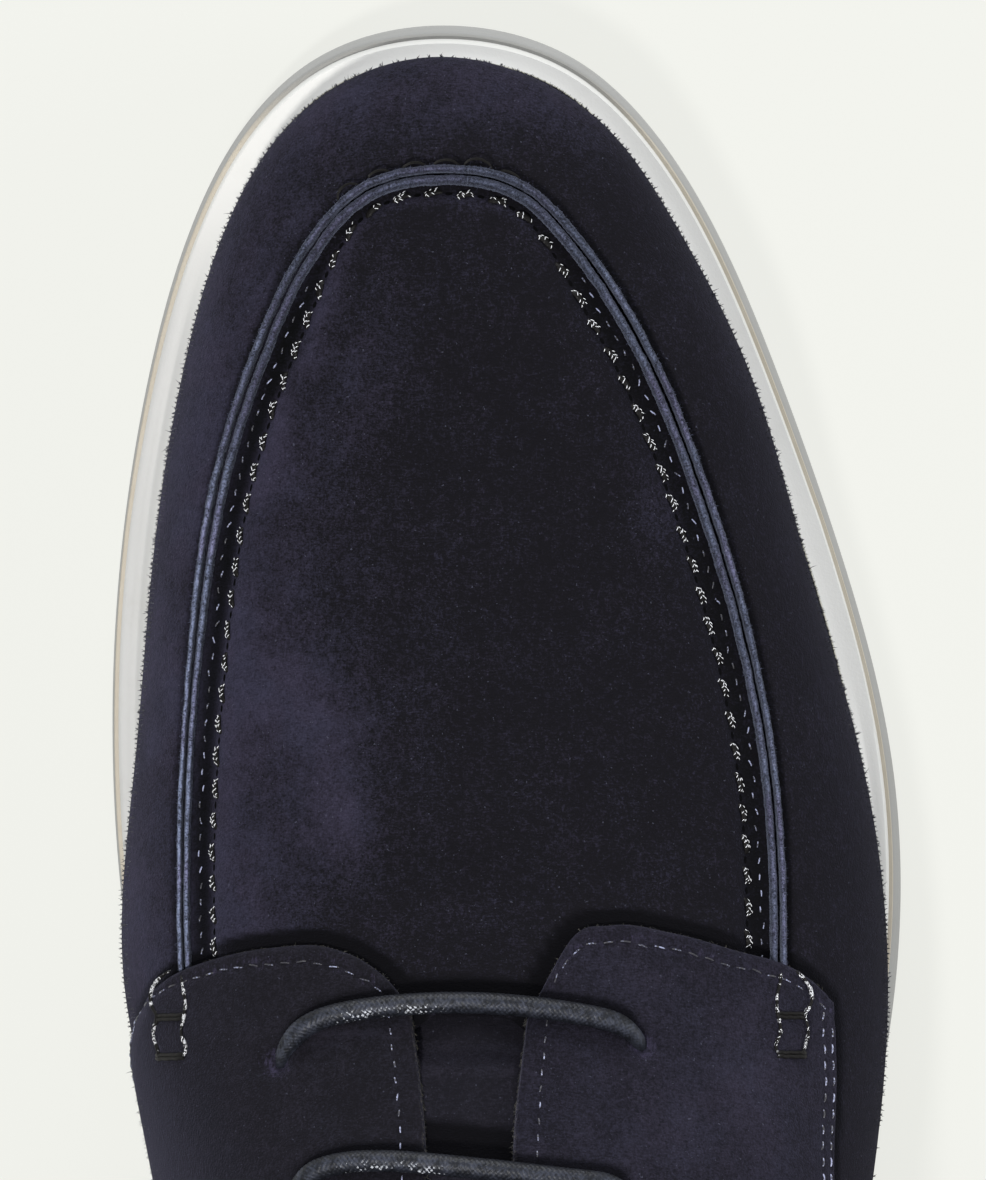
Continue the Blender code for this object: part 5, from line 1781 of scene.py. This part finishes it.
# Painted shade: darker in the braid's furrows, on the side that faces the toe, on the side that faces the
# heel, and near the eyelets.
strand_shade = cord.mix(cord.read("furrow") * 0.85, cord_tone, (0.004, 0.0042, 0.0052))
toe_side_shade = cord.sharpen(cord.facing((0.95, 0.0, 0.30)), 0.45, 0.95) * 0.7
heel_side_shade = cord.sharpen(cord.facing((-0.95, 0.0, 0.30)), 0.60, 0.98) * 0.6
strand_shade = cord.mix(toe_side_shade + heel_side_shade, strand_shade, (0.0050, 0.0052, 0.0068))
# Painted highlights: glints in patches, only on the side that faces up and towards the heel.
rubbed = cord.sharpen(cord.facing((-0.62, 0.10, 0.78)), 0.80, 0.97) * 0.96 + 0.03
glint_patches = cord.sharpen(cord.noise(1.1, 3, 0.6, out=5), 0.38, 0.62)
painted_glints = cord.sharpen(cord.read("glint") * (0.45 + cord_wax), 0.50, 0.82) * glint_patches
cord.set("Base Color", cord.mix(painted_glints * rubbed, strand_shade, (0.66, 0.69, 0.76)))
cord.set("Roughness", 0.36 + cord_wax * 0.26)
cord.bump(cord_wax, 0.04)

for number, lace in enumerate(LACES, start=1):
    route = [over_form(float(lace_station(lace, share)), lace[1] + (lace[3] - lace[1]) * share, lift)
             for share, lift in LACE_RUN]
    fine = smooth_path(route, samples=30)
    place, _, _, _, arc = resampled(fine, np.broadcast_to((0.0, 0.0, 1.0), fine.shape), LACE_STEP)
    forward = np.broadcast_to((1.0, 0.0, 0.0), place.shape)
    from_end = np.minimum(arc, arc[-1] - arc)
    thin = 1 - 0.38 * (1 - ease((from_end - 2) / 8))
    points, faces, furrow, glint = braid(place, forward, 2 * LACE_RADIUS, 2 * LACE_RADIUS, BRAID_PITCH,
                                         BRAID_STRANDS, BRAID_DEPTH, LACE_SIDES, thin)
    inner = np.repeat(1 - ease((from_end - 2.5) / 6), LACE_SIDES)       # painted shade and no glints near the eyelets
    along = np.repeat(arc / arc[-1], LACE_SIDES)
    glint_window = 0.44 + 0.80 * ease((along - 0.20) / 0.09) * ease((0.52 - along) / 0.10)     # painted glints mostly on the medial half
    values = {"furrow": np.maximum(furrow, 0.45 * inner), "glint": glint * (1 - inner) * glint_window}
    bar = make(f"lace_{number}", points, faces, cord, values, 70)
    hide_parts(f"lace_bar_{number}")

# FLOOR, LIGHT AND CAMERA. A plain pale floor, a lamp high behind the heel on the medial side, two weak
# fills and a bright even sky. The camera looks straight down on the front half of the shoe, from far off.

FLOOR_HALF = 3.0
PALE = (0.859, 0.866, 0.819)
VIEW_CENTRE = (0.0727, 0.0020, 0.0)
VIEW_LONG_SIDE = 0.1646
CAMERA_HEIGHT = 5.6


def shade_of(colour, share):
    """A colour times a number."""
    return tuple(part * share for part in colour)


floor_finish = Finish("floor_paint", roughness=0.9, emission_strength=0.87)
uneven = floor_finish.noise(700, 2)
floor_finish.set("Base Color", floor_finish.mix(uneven, shade_of(PALE, 0.10), shade_of(PALE, 0.11)))
floor_finish.set("Emission Color", floor_finish.mix(uneven, PALE, shade_of(PALE, 1.01)))
floor_mesh = bpy.data.meshes.new("floor")
corners = [(x * FLOOR_HALF, y * FLOOR_HALF, 0) for x, y in ((-1, -1), (1, -1), (1, 1), (-1, 1))]
floor_mesh.from_pydata(corners, [], [(0, 1, 2, 3)])
floor_mesh.materials.append(floor_finish.material)
floor = bpy.data.objects.new("floor", floor_mesh)
bpy.context.collection.objects.link(floor)


def lamp(name, place, aim, size, power, colour):
    """A round soft lamp that the camera doesn't see."""
    light = bpy.data.lights.new(name, "AREA")
    light.shape = "DISK"
    light.size = size
    light.energy = power
    light.color = colour
    made = bpy.data.objects.new(name, light)
    made.location = place
    made.rotation_euler = (Vector(aim) - Vector(place)).to_track_quat("-Z", "Y").to_euler()
    made.visible_camera = False
    bpy.context.collection.objects.link(made)


lamp("key_light", (-0.44, 0.34, 1.50), (0.05, 0, 0), 0.17, 17, (1.0, 0.985, 0.96))
lamp("fill_light", (1.45, 0.1, 0.50), (0.12, 0, 0), 0.8, 14, (0.96, 0.98, 1.0))
lamp("side_light", (0.15, -1.35, 0.66), (0.05, 0, 0), 0.8, 7.5, (0.98, 0.99, 1.0))
world = bpy.data.worlds.new("sky")
world.use_nodes = True
world.node_tree.nodes["Background"].inputs["Color"].default_value = (0.97, 0.98, 1.0, 1)
world.node_tree.nodes["Background"].inputs["Strength"].default_value = 0.45
bpy.context.scene.world = world
bpy.context.scene.view_settings.view_transform = "Standard"

camera = bpy.data.cameras.new("camera")
camera.lens = camera.sensor_width * CAMERA_HEIGHT / VIEW_LONG_SIDE
camera.clip_end = 2 * CAMERA_HEIGHT
viewer = bpy.data.objects.new("camera", camera)
viewer.location = (VIEW_CENTRE[0], VIEW_CENTRE[1], CAMERA_HEIGHT)
viewer.rotation_euler = (0, 0, -math.pi / 2)
bpy.context.collection.objects.link(viewer)
bpy.context.scene.camera = viewer
